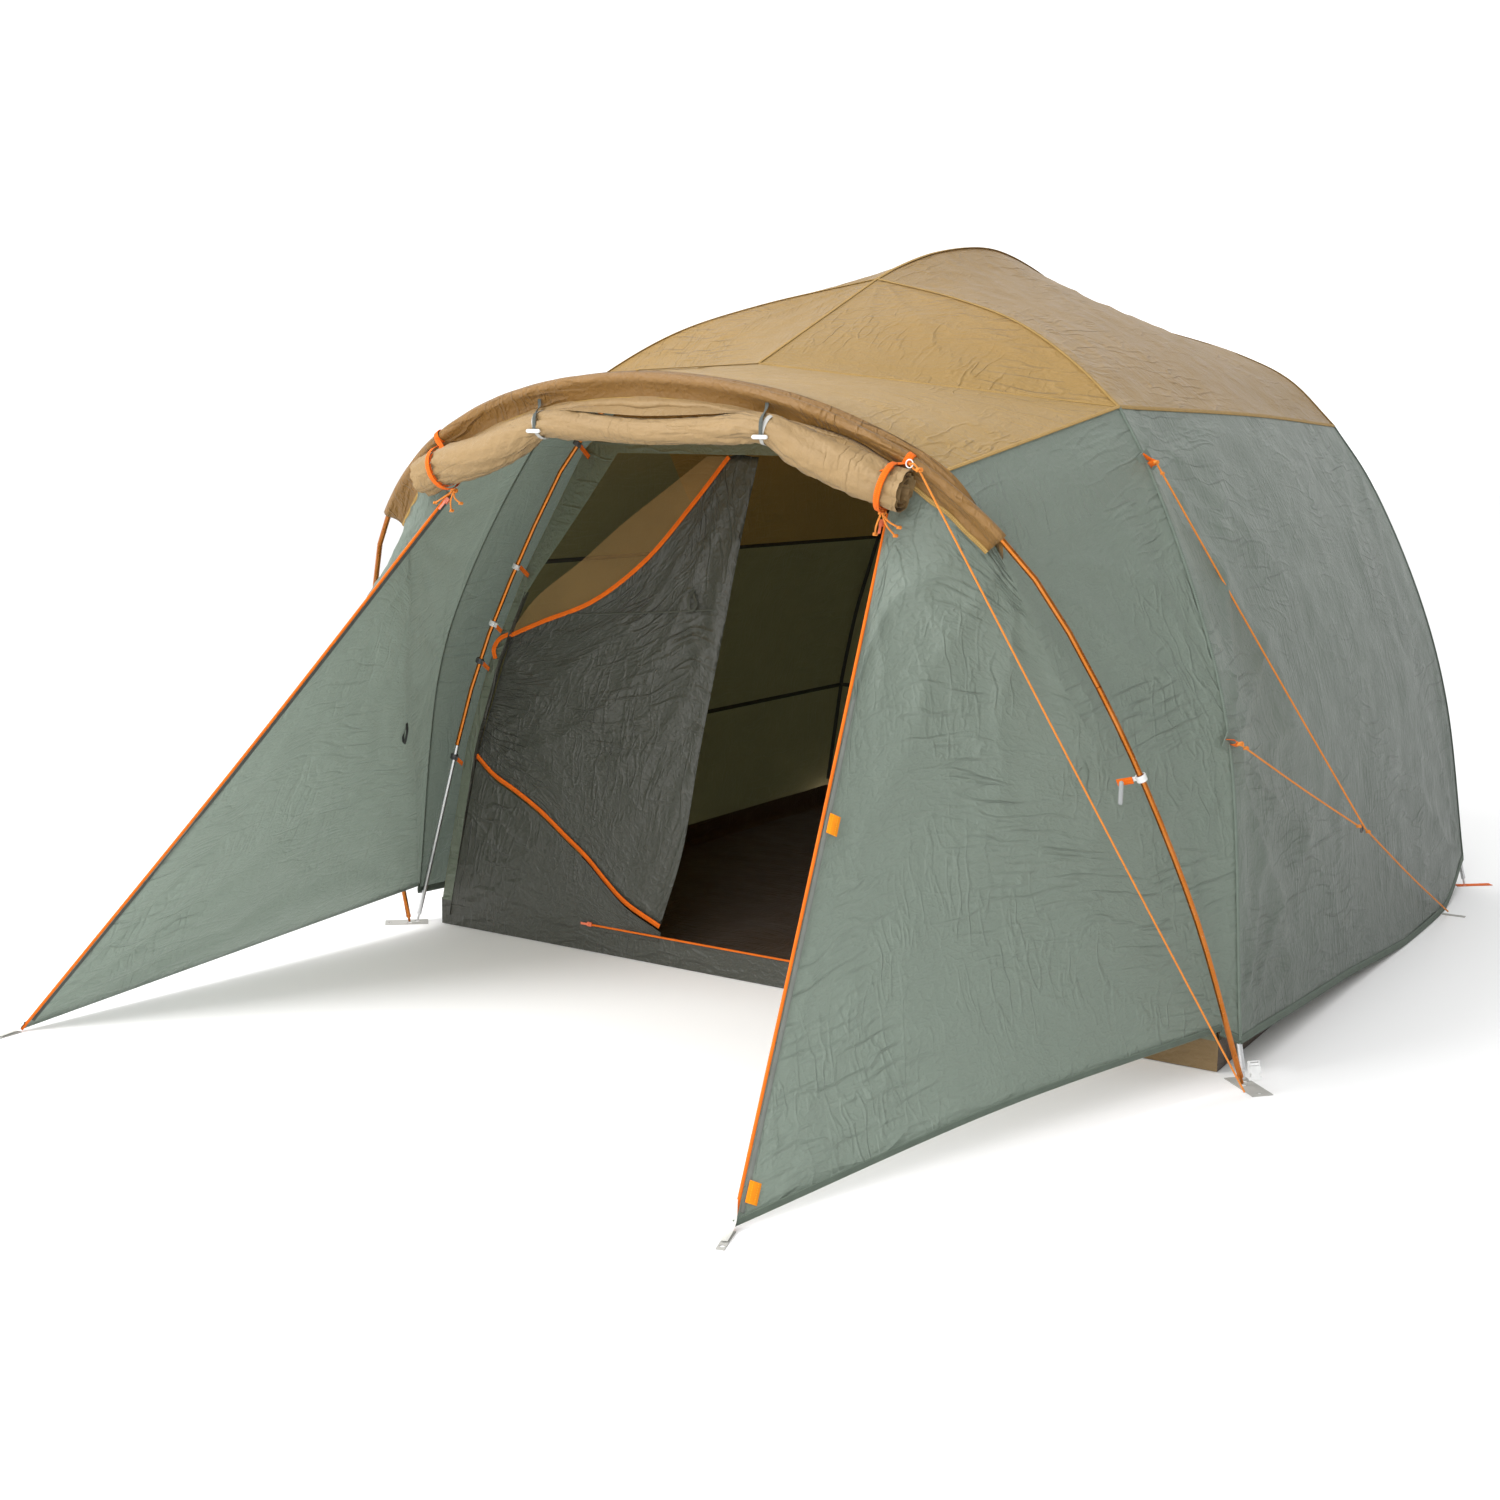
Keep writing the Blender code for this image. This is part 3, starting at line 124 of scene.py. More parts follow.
CLIP_AT = 0.745

SEAM_RUN = math.hypot(FOOT_X, FOOT_Y - HUB_Y)
LEG_RUN = math.hypot(FOOT_X, LEG_FOOT_Y - HUB_Y)
LEG_OUTLINE = LEG_BEND + [(LEG_RUN, HUB_Z)]
FORWARD = np.array((0.0, -math.cos(ARCH_LEAN), -math.sin(ARCH_LEAN)))
UP = np.array((0.0, 0.0, 1.0))

CELL = 0.019     # spacing of a panel's grid
CANOPY_CELL = CELL * 1.6
CLOTH = 0.0008                            # thickness of the fabric


def point(x, y, z):
    return np.array((x, y, z), float)


def unit(vector):
    vector = np.asarray(vector, float)
    return vector / np.linalg.norm(vector)


def units(rows):
    return rows / np.linalg.norm(rows, axis=-1, keepdims=True)


def distances(points):
    """How far along a line of points each one is."""
    gaps = np.linalg.norm(np.diff(points, axis=0), axis=1)
    return np.concatenate([[0.0], np.cumsum(gaps)])


class Path:
    """A smooth curve through a few points, read by its share of the whole length."""

    def __init__(self, knots, steps=24):
        knots = [np.asarray(k, float) for k in knots]
        points = [knots[0]]
        if len(knots) == 2:
            points.append(knots[1])
        else:
            ends = [2 * knots[0] - knots[1]] + knots + [2 * knots[-1] - knots[-2]]
            for i in range(len(knots) - 1):
                points += self._span(ends[i:i + 4], steps)
        self.points = np.array(points)
        self.marks = distances(self.points)
        self.length = float(self.marks[-1])

    @staticmethod
    def _span(four, steps):
        p0, p1, p2, p3 = four
        t1 = np.linalg.norm(p1 - p0) ** 0.5
        t2 = t1 + np.linalg.norm(p2 - p1) ** 0.5
        t3 = t2 + np.linalg.norm(p3 - p2) ** 0.5
        found = []
        for k in range(1, steps + 1):
            t = t1 + (t2 - t1) * k / steps
            a1 = p0 + (p1 - p0) * t / t1
            a2 = p1 + (p2 - p1) * (t - t1) / (t2 - t1)
            a3 = p2 + (p3 - p2) * (t - t2) / (t3 - t2)
            b1 = a1 + (a2 - a1) * t / t2
            b2 = a2 + (a3 - a2) * (t - t1) / (t3 - t1)
            found.append(b1 + (b2 - b1) * (t - t1) / (t2 - t1))
        return found

    def sample(self, shares):
        reach = np.clip(shares, 0.0, 1.0) * self.length
        return np.stack([np.interp(reach, self.marks, self.points[:, k]) for k in range(3)], axis=-1)

    def at(self, share):
        return self.sample(np.array([share]))[0]

    def heading(self, share):
        step = 0.004
        return unit(self.at(share + step) - self.at(share - step))

    def cut(self, start, end, count):
        """Points evenly spaced between two distances along the path."""
        return self.sample(np.linspace(start, end, count + 1) / self.length)

    def spaced(self, count):
        return self.cut(0.0, self.length, count)

    def part(self, start, end):
        return Path(self.cut(start, end, 60), 1)


# ---------------------------------------------------------------- where things are

def leg_plan(s):
    """Half width and half depth at a distance along the ground from a leg's foot to its hub."""
    return FOOT_X * (1 - s / LEG_RUN), LEG_FOOT_Y - (LEG_FOOT_Y - HUB_Y) * s / LEG_RUN


def leg_point(side, end, s, z):
    x, y = leg_plan(s)
    return point(side * x, end * y, z)


def seam_point(side, end, s, z, proud=0.0):
    s = s - proud
    x = FOOT_X * (1 - s / SEAM_RUN)
    y = FOOT_Y - (FOOT_Y - HUB_Y) * s / SEAM_RUN
    return point(side * x, end * y, z)


def seam_low(side, end):
    return Path([seam_point(side, end, s, z) for s, z in SEAM_LOW[end]])


def seam_high(side, end):
    return Path([seam_point(side, end, s, z) for s, z in SEAM_HIGH[end]])


def shoulder_point(side, end):
    return seam_low(side, end).at(1.0)


def hem_point(side, end):
    return seam_low(side, end).at(0.0)


def arch_point(x, h, forward=0.0):
    base = point(x, -ARCH_FOOT_Y - h * math.sin(ARCH_LEAN), h * math.cos(ARCH_LEAN))
    return base + FORWARD * forward


def leg_path(side, end):
    return Path([leg_point(side, end, s, z) for s, z in LEG_OUTLINE])


def share_at(path, x, count):
    """The share of a path's length at which it passes closest to `x`."""
    shares = np.linspace(0.0, 1.0, count)
    return float(shares[np.argmin(np.abs(path.sample(shares)[:, 0] - x))])


ARCH = Path([arch_point(-x, h) for x, h in ARCH_BEND] + [arch_point(0.0, ARCH_TOP)]
            + [arch_point(x, h) for x, h in reversed(ARCH_BEND)])


OVER = arch_point(0.0, 1.0) - arch_point(0.0, 0.0)   # up along the leaning arch


def arch_share(x):
    return share_at(ARCH, x, 900)


def arch_offset(share, outward, forward):
    """A point beside the arch pole: outward in its plane, and forward of it."""
    radial = np.cross(ARCH.heading(share), FORWARD)
    if radial[2] < 0:
        radial = -radial
    return ARCH.at(share) + unit(radial) * outward + FORWARD * forward


CREST = arch_offset(0.5, 0.004, SLEEVE_BACK)


def inner_level(z):
    """Half width, half depth of the canopy at a height, from the leg just outside it."""
    tuck = FLOOR_TUCK + (INNER_DROP - FLOOR_TUCK) * min(z / LEG_JOINT[1], 1.0)
    for (s0, z0), (s1, z1) in zip(LEG_OUTLINE, LEG_OUTLINE[1:]):
        if z <= z1:
            run = math.hypot(s1 - s0, z1 - z0)
            s = s0 + (s1 - s0) * (z - z0) / (z1 - z0) + tuck * run / (z1 - z0)
            break
    return leg_plan(min(s, LEG_RUN))


def front_point(u, z, inset=0.0):
    x, y = inner_level(z)
    return point(u * x, -y + inset, z)


def door_path(points, inset=DOOR_BACK):
    return Path([front_point(u, z, inset) for u, z in points])


def left_jamb(z):
    lean = max(0.0, z - JAMB_TURN_Z) / (DOOR_HEAD_Z - JAMB_TURN_Z)
    return -DOOR_JAMB + (DOOR_JAMB - JAMB_HEAD) * lean


def eave_path(side):
    ends = [shoulder_point(side, end) for end in (FRONT, REAR)]
    return Path([ends[0], point(side * EAVE_MIDDLE_X, 0.0, EAVE_MIDDLE_Z), ends[1]])


def side_hem_path(side):
    lead = point(side * FOOT_X, -0.36, 0.052)
    stake = point(side * (FOOT_X + 0.02), STAKED_HEM_Y, HEM_LIFT)
    return Path([hem_point(side, FRONT), lead, stake, hem_point(side, REAR)])


def ridge_path():
    """The fly's top edge along the ridge pole, from the front hub to the rear hub."""
    half = [(0.0, y, z) for y, z in FLY_RIDGE]
    return Path(half + [(0.0, -y, z) for _, y, z in reversed(half[:-1])])


def rear_eave_middle():
    return point(0.0, shoulder_point(RIGHT, REAR)[1] + 0.03, EAVE_MIDDLE_Z)


def sleeve_spot(x, h):
    return arch_point(x, h, SLEEVE_BACK)


# The two wings of the vestibule: side, head and tip of the zip edge, hollow, rise of the hem
WINGS = {
    "right": (RIGHT, (0.546, 1.305), (0.694, -2.394, 0.004), FLAP_HOLLOW, FLAP_HEM_RISE),
    "left": (LEFT, (-0.623, 1.32), (-1.265, -2.385, 0.004), FLAP_HOLLOW * 0.6, 0.0),
}


def zip_path(word):
    _, head, tip, _, _ = WINGS[word]
    head = arch_point(*head, SLEEVE_BACK)
    tip = np.array(tip)
    return Path([tip, (tip + head) / 2 - UP * ZIP_EDGE_SAG, head])


def zip_frame(word):
    """The zip edge of a wing, with the directions into its cloth and square to it."""
    edge = zip_path(word)
    inward = unit(wing_hem(word).at(1.0) - edge.at(0.5))
    return edge, inward, unit(np.cross(edge.heading(0.5), inward))


def wing_edge(side):
    """The vestibule side's line inside the arch pole, from its foot to its shoulder."""
    ridge = [sleeve_spot(side * x, h) for x, h in reversed(VESTIBULE_RIDGE)]
    shoulder = sleeve_spot(side * SLEEVE_SHOULDER[0], SLEEVE_SHOULDER[1])
    return ridge, Path(ridge + [sleeve_spot(side * 0.755, 1.32), shoulder])


def wing_top(word):
    """The wing's upper edge, from its zip's head up behind the visor to the shoulder crease."""
    side, head, _, _, _ = WINGS[word]
    start = side * head[0]
    knots = [(start, head[1]), (max(0.6, start + 0.035), 1.375), (0.672, 1.372), (0.737, 1.322),
             VESTIBULE_RIDGE[0]]
    return Path([sleeve_spot(side * x, h) for x, h in knots])


def wing_hem(word):
    side, _, tip, _, rise = WINGS[word]
    foot = wing_edge(side)[0][0]
    tip = np.array(tip)
    return Path([tip, (tip + foot) / 2 + UP * rise, foot])


# ---------------------------------------------------------------- grids of fabric

def patch(bottom, top, left, right, bulge=0.0, outward=UP, across=None, up=None):
    """A grid of points over the surface that four edges span. A bulge moves its middle outward."""
    wide = max(bottom.length, top.length, 0.1)
    tall = max(left.length, right.length)
    across = across or max(6, round(wide / CELL))
    up = up or max(4, round(tall / CELL))
    u = np.linspace(0.0, 1.0, across + 1)
    v = np.linspace(0.0, 1.0, up + 1)
    low, high, start, end = bottom.sample(u), top.sample(u), left.sample(v), right.sample(v)
    uu = u[None, :, None]
    vv = v[:, None, None]
    ruled_up = low[None] * (1 - vv) + high[None] * vv
    ruled_across = start[:, None] * (1 - uu) + end[:, None] * uu
    near = low[0] * (1 - uu) + low[-1] * uu
    far = high[0] * (1 - uu) + high[-1] * uu
    grid = ruled_up + ruled_across - (near * (1 - vv) + far * vv)
    return grid + np.asarray(outward, float) * bulge * 16 * uu * (1 - uu) * vv * (1 - vv)


def ends_between(low, high):
    """The straight edges that join the starts and the ends of two paths."""
    return Path([low.at(0.0), high.at(0.0)]), Path([low.at(1.0), high.at(1.0)])


def mirrored(grid):
    """A right half whose first column is the centre line, joined to its mirror image."""
    other = grid[:, :0:-1] * np.array((-1.0, 1.0, 1.0))
    return np.concatenate([other, grid], axis=1)


def flat_places(grid):
    """Where each point lies on the flat cloth, in metres."""
    steps = np.linalg.norm(np.diff(grid, axis=1), axis=2)
    along = np.concatenate([np.zeros((len(grid), 1)), np.cumsum(steps, axis=1)], axis=1)
    along -= along[:, -1:] / 2
    rises = np.linalg.norm(np.diff(grid, axis=0), axis=2).mean(axis=1)
    up = np.concatenate([[0.0], np.cumsum(rises)])
    return np.stack([along, np.repeat(up[:, None], grid.shape[1], axis=1)], axis=-1)


def normals_of(grid):
    across = np.gradient(grid, axis=1)
    up = np.gradient(grid, axis=0)
    normal = np.cross(across, up)
    size = np.linalg.norm(normal, axis=2, keepdims=True)
    return normal / np.maximum(size, 1e-9)


def cell_areas(grid):
    a = grid[1:, 1:] - grid[:-1, :-1]
    b = grid[1:, :-1] - grid[:-1, 1:]
    return np.linalg.norm(np.cross(a, b), axis=2) / 2


def edge_fade(flat, hold, free=""):
    """0 at a sewn edge and 1 a hold's width inside it. `free` names edges that move: l r b t."""
    fade = np.ones(flat.shape[:2])
    sides = {
        "l": flat[..., 0] - flat[:, :1, 0],
        "r": flat[:, -1:, 0] - flat[..., 0],
        "b": flat[..., 1] - flat[:1, :, 1],
        "t": flat[-1:, :, 1] - flat[..., 1],
    }
    for name, distance in sides.items():
        if name not in free:
            share = np.clip(distance / hold, 0.0, 1.0)
            fade *= share * share * (3 - 2 * share)
    return fade


def crumple_heights(flat, seed, stretch=(1.0, 1.0)):
    """Soft waves with crisp creases in them, about 1 high."""
    heights = np.zeros(flat.shape[:2])
    for j in range(flat.shape[0]):
        for i in range(flat.shape[1]):
            s = flat[j, i, 0] * stretch[0]
            t = flat[j, i, 1] * stretch[1]
            bend = noise.noise(Vector((s * 2.1, t * 2.1, seed)))
            wave = noise.noise(Vector((s * 3.6 + bend, t * 3.6 - bend, seed + 7.3)))
            crease = 1 - abs(noise.noise(Vector((s * 7.5 - bend, t * 7.5, seed + 3.1)))) * 2.4
            small = 1 - abs(noise.noise(Vector((s * 15.0, t * 15.0 + bend, seed + 5.7)))) * 2.0
            heights[j, i] = wave * 1.5 + crease * 0.4 + small * 0.2
    return heights - heights.mean()


def fold_heights(grid, flat, seed, anchor, reach, count):
    """Folds that fan out from an anchor where the cloth is pulled, about 1 high."""
    gap = np.linalg.norm(grid - np.asarray(anchor, float), axis=2)
    j, i = np.unravel_index(np.argmin(gap), gap.shape)
    offset = flat - flat[j, i]
    distance = np.linalg.norm(offset, axis=2)
    angle = np.arctan2(offset[..., 1], offset[..., 0])
    wobble = 0.25 * np.sin(distance * 9.0 + seed) + 0.15 * np.sin(distance * 21.0 + seed * 2)
    ridge = 1 - np.abs(np.sin(angle * count / 2 + seed + wobble))
    share = distance / reach
    return (ridge ** 2 - 0.3) * 2.2 * share * np.exp(1 - share * 1.6) * (share < 4)


def rumpled(grid, seed, crumple=0.004, folds=(), hold=0.07, free="", stretch=(1.0, 1.0), sign=1.0):
    """The grid moved along its normals by crumples and by folds, still at its sewn edges."""
    flat = flat_places(grid)
    heights = crumple_heights(flat, seed, stretch) * crumple
    for number, (anchor, reach, amount, count) in enumerate(folds):
        heights += fold_heights(grid, flat, seed + number, anchor, reach, count) * amount
    heights *= edge_fade(flat, hold, free) * sign
    return grid + normals_of(grid) * heights[..., None]


# ---------------------------------------------------------------- making pieces

def new_piece(name, points, faces, places, skin, body, replaces, outward=None):
    """A mesh with its cloth map, in one skin. A sheet gives the side that faces `outward`."""
    mesh = bpy.data.meshes.new(name)
    mesh.from_pydata(np.concatenate(points).tolist(), [], faces)
    layer = mesh.uv_layers.new(name="cloth")
    corners = np.zeros(len(mesh.loops), np.int32)
    mesh.loops.foreach_get("vertex_index", corners)
    layer.data.foreach_set("uv", np.concatenate(places).astype(np.float32)[corners].ravel())
    bm = bmesh.new()
    bm.from_mesh(mesh)
    if outward is not None:
        bmesh.ops.remove_doubles(bm, verts=bm.verts, dist=0.00005)
        bmesh.ops.delete(bm, geom=[v for v in bm.verts if not v.link_faces], context="VERTS")
    bmesh.ops.recalc_face_normals(bm, faces=bm.faces)
    if outward is not None and sum(f.normal.dot(Vector(outward)) * f.calc_area() for f in bm.faces) < 0:
        bmesh.ops.reverse_faces(bm, faces=bm.faces)
    bm.to_mesh(mesh)
    bm.free()
    mesh.shade_smooth()
    material, usual_slot = SKIN[skin]
    mesh.materials.append(material)
    piece = bpy.data.objects.new(name, mesh)
    bpy.context.scene.collection.objects.link(piece)
    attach(piece, body)
    if replaces:
        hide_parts(*replaces)
    return piece


def grid_faces(rows, columns, start=0, keep=None):
    j, i = np.meshgrid(np.arange(rows - 1), np.arange(columns - 1), indexing="ij")
    first = start + j * columns + i
    if keep is not None:
        first = first[keep]
    first = first.ravel()
    return np.stack([first, first + 1, first + columns + 1, first + columns], axis=1).tolist()


def cloth(name, grids, skin, outward, body="root", replaces=(), keep=None,
          thick=None, strip=None):
    """One sheet of fabric over grids that share edges.

    A border cut as a strip gives the strip's length in `strip`.
    """
    points, faces, places, shift = [], [], [], 0.0
    widest = tallest = area = 0.0
    start = 0
    for grid in grids:
        flat = flat_places(grid)
        width = float((flat[:, -1, 0] - flat[:, 0, 0]).max())
        chosen = None if keep is None else keep(grid)
        faces += grid_faces(grid.shape[0], grid.shape[1], start, chosen)
        points.append(grid.reshape(-1, 3))
        places.append(flat.reshape(-1, 2) + (shift, 0.0))
        shift += width + 0.5
        start += grid.shape[0] * grid.shape[1]
        columns = np.linalg.norm(np.diff(grid, axis=0), axis=2).sum(axis=0)
        widest = widest + width if len(grids) == 2 else max(widest, width)
        tallest = max(tallest, float(columns.max()))
        cells = cell_areas(grid)
        area += float(cells.sum() if chosen is None else cells[chosen].sum())
    piece = new_piece(name, points, faces, places, skin, body, replaces, outward)
    if thick:
        solid = piece.modifiers.new("thickness", "SOLIDIFY")
        solid.thickness = thick
        solid.offset = -1.0
    if strip:
        widest, tallest = area / strip * 1.005, strip
    elif area > widest * tallest:
        tallest = area / widest * 1.01


def ribbon(points, facing, width, thick=0.0014):
    """A flat strap with soft edges along a line: its points, faces and cloth places."""
    points = np.asarray(points, float)
    along = units(np.gradient(points, axis=0))
    facing = np.broadcast_to(np.asarray(facing, float), points.shape)
    across = units(np.cross(along, facing))
    up = np.cross(across, along)
    half = width / 2
    nip = min(thick * 0.6, half * 0.5)
    section = [(-half, 0.0), (-half + nip, thick / 2), (0.0, thick / 2), (half - nip, thick / 2),
               (half, 0.0), (half - nip, -thick / 2), (0.0, -thick / 2), (-half + nip, -thick / 2)]
    rings = np.stack([points + across * a + up * b for a, b in section], axis=1)
    places = np.zeros((len(points), len(section), 2))
    places[..., 0] = distances(points)[:, None]
    places[..., 1] = np.array([a for a, _ in section])[None]
    return closed_tube(rings, places)


def tube(points, radius, sides=8):
    """A round cord along a line. The radius may be one for each point."""
    points = np.asarray(points, float)
    along = units(np.gradient(points, axis=0))
    radius = np.broadcast_to(np.asarray(radius, float), (len(points),))
    side = unit(np.cross(along[0], (0.31, 0.17, 0.93)))
    rings, places, travel = [], [], 0.0
    for k in range(len(points)):
        side = unit(side - along[k] * side.dot(along[k]))
        lift = np.cross(along[k], side)
        if k:
            travel += float(np.linalg.norm(points[k] - points[k - 1]))
        turn = [2 * math.pi * n / sides for n in range(sides)]
        rings.append([points[k] + (side * math.cos(a) + lift * math.sin(a)) * radius[k] for a in turn])
        places.append([(travel, a * radius[k]) for a in turn])
    return closed_tube(np.array(rings), np.array(places))


def closed_tube(rings, places):
    count, sides = rings.shape[:2]
    faces = []
    for k in range(count - 1):
        for n in range(sides):
            m = (n + 1) % sides
            faces.append((k * sides + n, k * sides + m, (k + 1) * sides + m, (k + 1) * sides + n))
    faces.append(tuple(range(sides - 1, -1, -1)))
    faces.append(tuple((count - 1) * sides + n for n in range(sides)))
    return rings.reshape(-1, 3), faces, places.reshape(-1, 2)


def knot(centre, size, radius):
    """A small overhand knot, drawn tight."""
    turns = np.linspace(0.0, 2 * math.pi, 40)
    x = np.sin(turns) + 2 * np.sin(2 * turns)
    y = np.cos(turns) - 2 * np.cos(2 * turns)
    z = -np.sin(3 * turns) * 1.2
    return tube(np.asarray(centre) + np.stack([x, y, z], axis=1) * size / 6, radius, 7)


def plate(centre, along, facing, length, width, thick=0.0016):
    """A small flat tab."""
    centre = np.asarray(centre, float)
    along = unit(along)
    steps = np.linspace(-length / 2, length / 2, 5)
    return ribbon([centre + along * s for s in steps], facing, width, thick)


def block(centre, along, facing, length, width, thick):
    """A moulded block with eased ends."""
    centre = np.asarray(centre, float)
    along = unit(along)
    facing = np.asarray(facing, float)
    across = unit(np.cross(along, facing))
    up = np.cross(across, along)
    rings = []
    for share, swell in ((-1.0, 0.75), (-0.86, 1.0), (0.86, 1.0), (1.0, 0.75)):
        w, t = width / 2 * swell, thick / 2 * swell
        middle = centre + along * share * length / 2
        corner = 0.65
        section = [(-w, -t * corner), (-w, t * corner), (-w * corner, t), (w * corner, t),
                   (w, t * corner), (w, -t * corner), (w * corner, -t), (-w * corner, -t)]
        rings.append([middle + across * a + up * b for a, b in section])
    rings = np.array(rings)
    return closed_tube(rings, rings[..., :2])


def group(name, shapes, skin, body="root", replaces=()):
    """Many small closed shapes of one material in one piece."""
    points, faces, places, start = [], [], [], 0
    for shape_points, shape_faces, shape_places in shapes:
        points.append(shape_points)
        faces += [tuple(n + start for n in face) for face in shape_faces]
        places.append(shape_places)
        start += len(shape_points)
    piece = new_piece(name, points, faces, places, skin, body, replaces)
    piece.data.set_sharp_from_angle(angle=math.radians(50))
    return piece


# ---------------------------------------------------------------- materials

def linear(red, green, blue):
    """A colour given as screen values from 0 to 255."""
    def channel(value):
        value /= 255
        return value / 12.92 if value <= 0.04045 else ((value + 0.055) / 1.055) ** 2.4
    return tuple(channel(c) for c in (red, green, blue))


class Value:
    """A node's output, which can be added, multiplied and mapped to another range."""

    def __init__(self, finish, socket):
        self.finish = finish
        self.socket = socket

    def __add__(self, other):
        return self.finish.math("ADD", self, other)

    def __mul__(self, other):
        return self.finish.math("MULTIPLY", self, other)

    def sine(self, pitch):
        return self.finish.math("SINE", self * (2 * math.pi / pitch))

    def spread(self, low, high, to_low, to_high):
        ends = {"From Min": low, "From Max": high, "To Min": to_low, "To Max": to_high}
        return self.finish.node("ShaderNodeMapRange", "Result", {"Value": self, **ends})


class Finish:
    """A node material under construction."""

    def __init__(self, name, roughness, **sockets):
        self.material = bpy.data.materials.new(name)
        self.material.use_nodes = True
        self.tree = self.material.node_tree
        self.shader = self.tree.nodes["Principled BSDF"]
        for socket, value in {"Roughness": roughness, **sockets}.items():
            self.shader.inputs[socket.replace("_", " ")].default_value = value

    def feed(self, socket, value):
        if isinstance(value, Value):
            self.tree.links.new(value.socket, socket)
        elif value is not None:
            socket.default_value = value

    def node(self, kind, output, inputs=None, **settings):
        node = self.tree.nodes.new(kind)
        for key, value in settings.items():
            setattr(node, key, value)
        for key, value in (inputs or {}).items():
            self.feed(node.inputs[key], value)
        return Value(self, node.outputs[output])

    def math(self, operation, *values):
        return self.node("ShaderNodeMath", 0, dict(enumerate(values)), operation=operation)

    def vector(self, operation, first, second):
        return self.node("ShaderNodeVectorMath", 0, {0: first, 1: second}, operation=operation)

    def parts(self, vector):
        """The three parts of a vector."""
        first = self.node("ShaderNodeSeparateXYZ", 0, {"Vector": vector})
        return [Value(self, socket) for socket in first.socket.node.outputs]

    def blend(self, factor, first, second):
        first, second = [c if isinstance(c, Value) else (*c, 1.0) for c in (first, second)]
        return self.node("ShaderNodeMix", 2, {0: factor, 6: first, 7: second}, data_type="RGBA")

    def mottle(self, tone, colour, dark, light):
        """The colour, darker in some patches and lighter in others."""
        return self.blend(tone.spread(0.3, 0.7, 0.0, 1.0), shade(colour, dark), shade(colour, light))

    def cloth_map(self):
        return self.node("ShaderNodeUVMap", "UV", uv_map="cloth")

    def place(self):
        return self.node("ShaderNodeTexCoord", "Object")

    def noise(self, vector, scale, detail=3.0, output="Fac"):
        inputs = {"Vector": vector, "Scale": scale, "Detail": detail}
        return self.node("ShaderNodeTexNoise", output, inputs)

    def bump(self, height, distance, normal=None):
        inputs = {"Height": height, "Distance": distance, "Strength": 1.0, "Normal": normal}
        return self.node("ShaderNodeBump", "Normal", inputs)

    def connect(self, colour, roughness=None, normal=None, alpha=None):
        for socket, value in (("Base Color", colour), ("Roughness", roughness), ("Normal", normal),
                              ("Alpha", alpha)):
            self.feed(self.shader.inputs[socket], value)
        return self.material


def shade(colour, factor):
    return tuple(min(1.0, c * factor) for c in colour)


def ridges(finish, vector, stretch, sharp):
    """Thin raised lines, drawn out by `stretch`."""
    level = finish.noise(finish.vector("MULTIPLY", vector, stretch), 1.0, 2.0)
    gap = finish.math("ABSOLUTE", finish.math("SUBTRACT", level, 0.5))
    return gap.spread(0.0, sharp, 1.0, 0.0)


def fabric(name, colour, roughness=0.4, crease=0.0042, through=0.0, glow=1.1, low_shade=0.0):
    """Coated tent nylon: packing creases, a fine weave and a dull shine.

    `through` is the share of light it lets through, and `low_shade` is painted shade: it darkens the
    cloth towards its foot, where less light reaches the walls.
    """
    finish = Finish(name, roughness, Sheen_Weight=0.08, Sheen_Roughness=0.4)
    flat = finish.cloth_map()
    bend = finish.noise(flat, 4.0, 2.0, "Color")
    bent = finish.vector("ADD", flat, finish.vector("MULTIPLY", bend, (0.07, 0.07, 0.07)))
    patchy = finish.noise(flat, 2.3, 2.0).spread(0.42, 0.6, 0.1, 1.0)
    other = finish.noise(bent, 3.1, 2.0).spread(0.42, 0.6, 0.0, 1.0)
    long_folds = ridges(finish, bent, (3.5, 19.0, 1.0), 0.06) * patchy
    cross_folds = ridges(finish, bent, (22.0, 6.0, 1.0), 0.05) * other
    crinkles = ridges(finish, bent, (38.0, 46.0, 1.0), 0.12)
    height = long_folds + cross_folds * 0.6 + crinkles * 0.22 + finish.noise(bent, 7.0, 4.0) * 2.2
    across, along, _ = finish.parts(flat)
    threads = across.sine(0.0011) * along.sine(0.0011) + finish.noise(flat, 600.0, 1.0) * 1.2
    normal = finish.bump(threads, 0.00007, finish.bump(height, crease))
    base = finish.mottle(finish.noise(flat, 1.7, 4.0), colour, 0.95, 1.05)
    # Painted highlight: lighter along the long fold ridges, where the creases catch the light.
    base = finish.blend(long_folds * 0.1, base, shade(colour, 1.5))
    base = finish.blend(threads.spread(-1.0, 2.0, 0.0, 0.22), base, shade(colour, 0.72))
    # Painted shade: the colour darkens towards the foot of the wall, standing in for the light that
    # falls off low down.
    if low_shade:
        level = finish.parts(finish.node("ShaderNodeNewGeometry", "Position"))[2]
        base = finish.blend(level.spread(0.1, 1.25, low_shade, 0.0), base, shade(colour, 0.3))
    rough = finish.noise(flat, 14.0).spread(0.3, 0.7, roughness - 0.07, roughness + 0.07)
    material = finish.connect(base, rough, normal)
    if through:
        lit = finish.node("ShaderNodeBsdfTranslucent", 0, {"Color": (*shade(colour, glow), 1.0)})
        surface = Value(finish, finish.shader.outputs[0])
        mix = finish.node("ShaderNodeMixShader", 0, {"Fac": through, 1: surface, 2: lit})
        finish.feed(finish.tree.nodes["Material Output"].inputs["Surface"], mix)
    return material


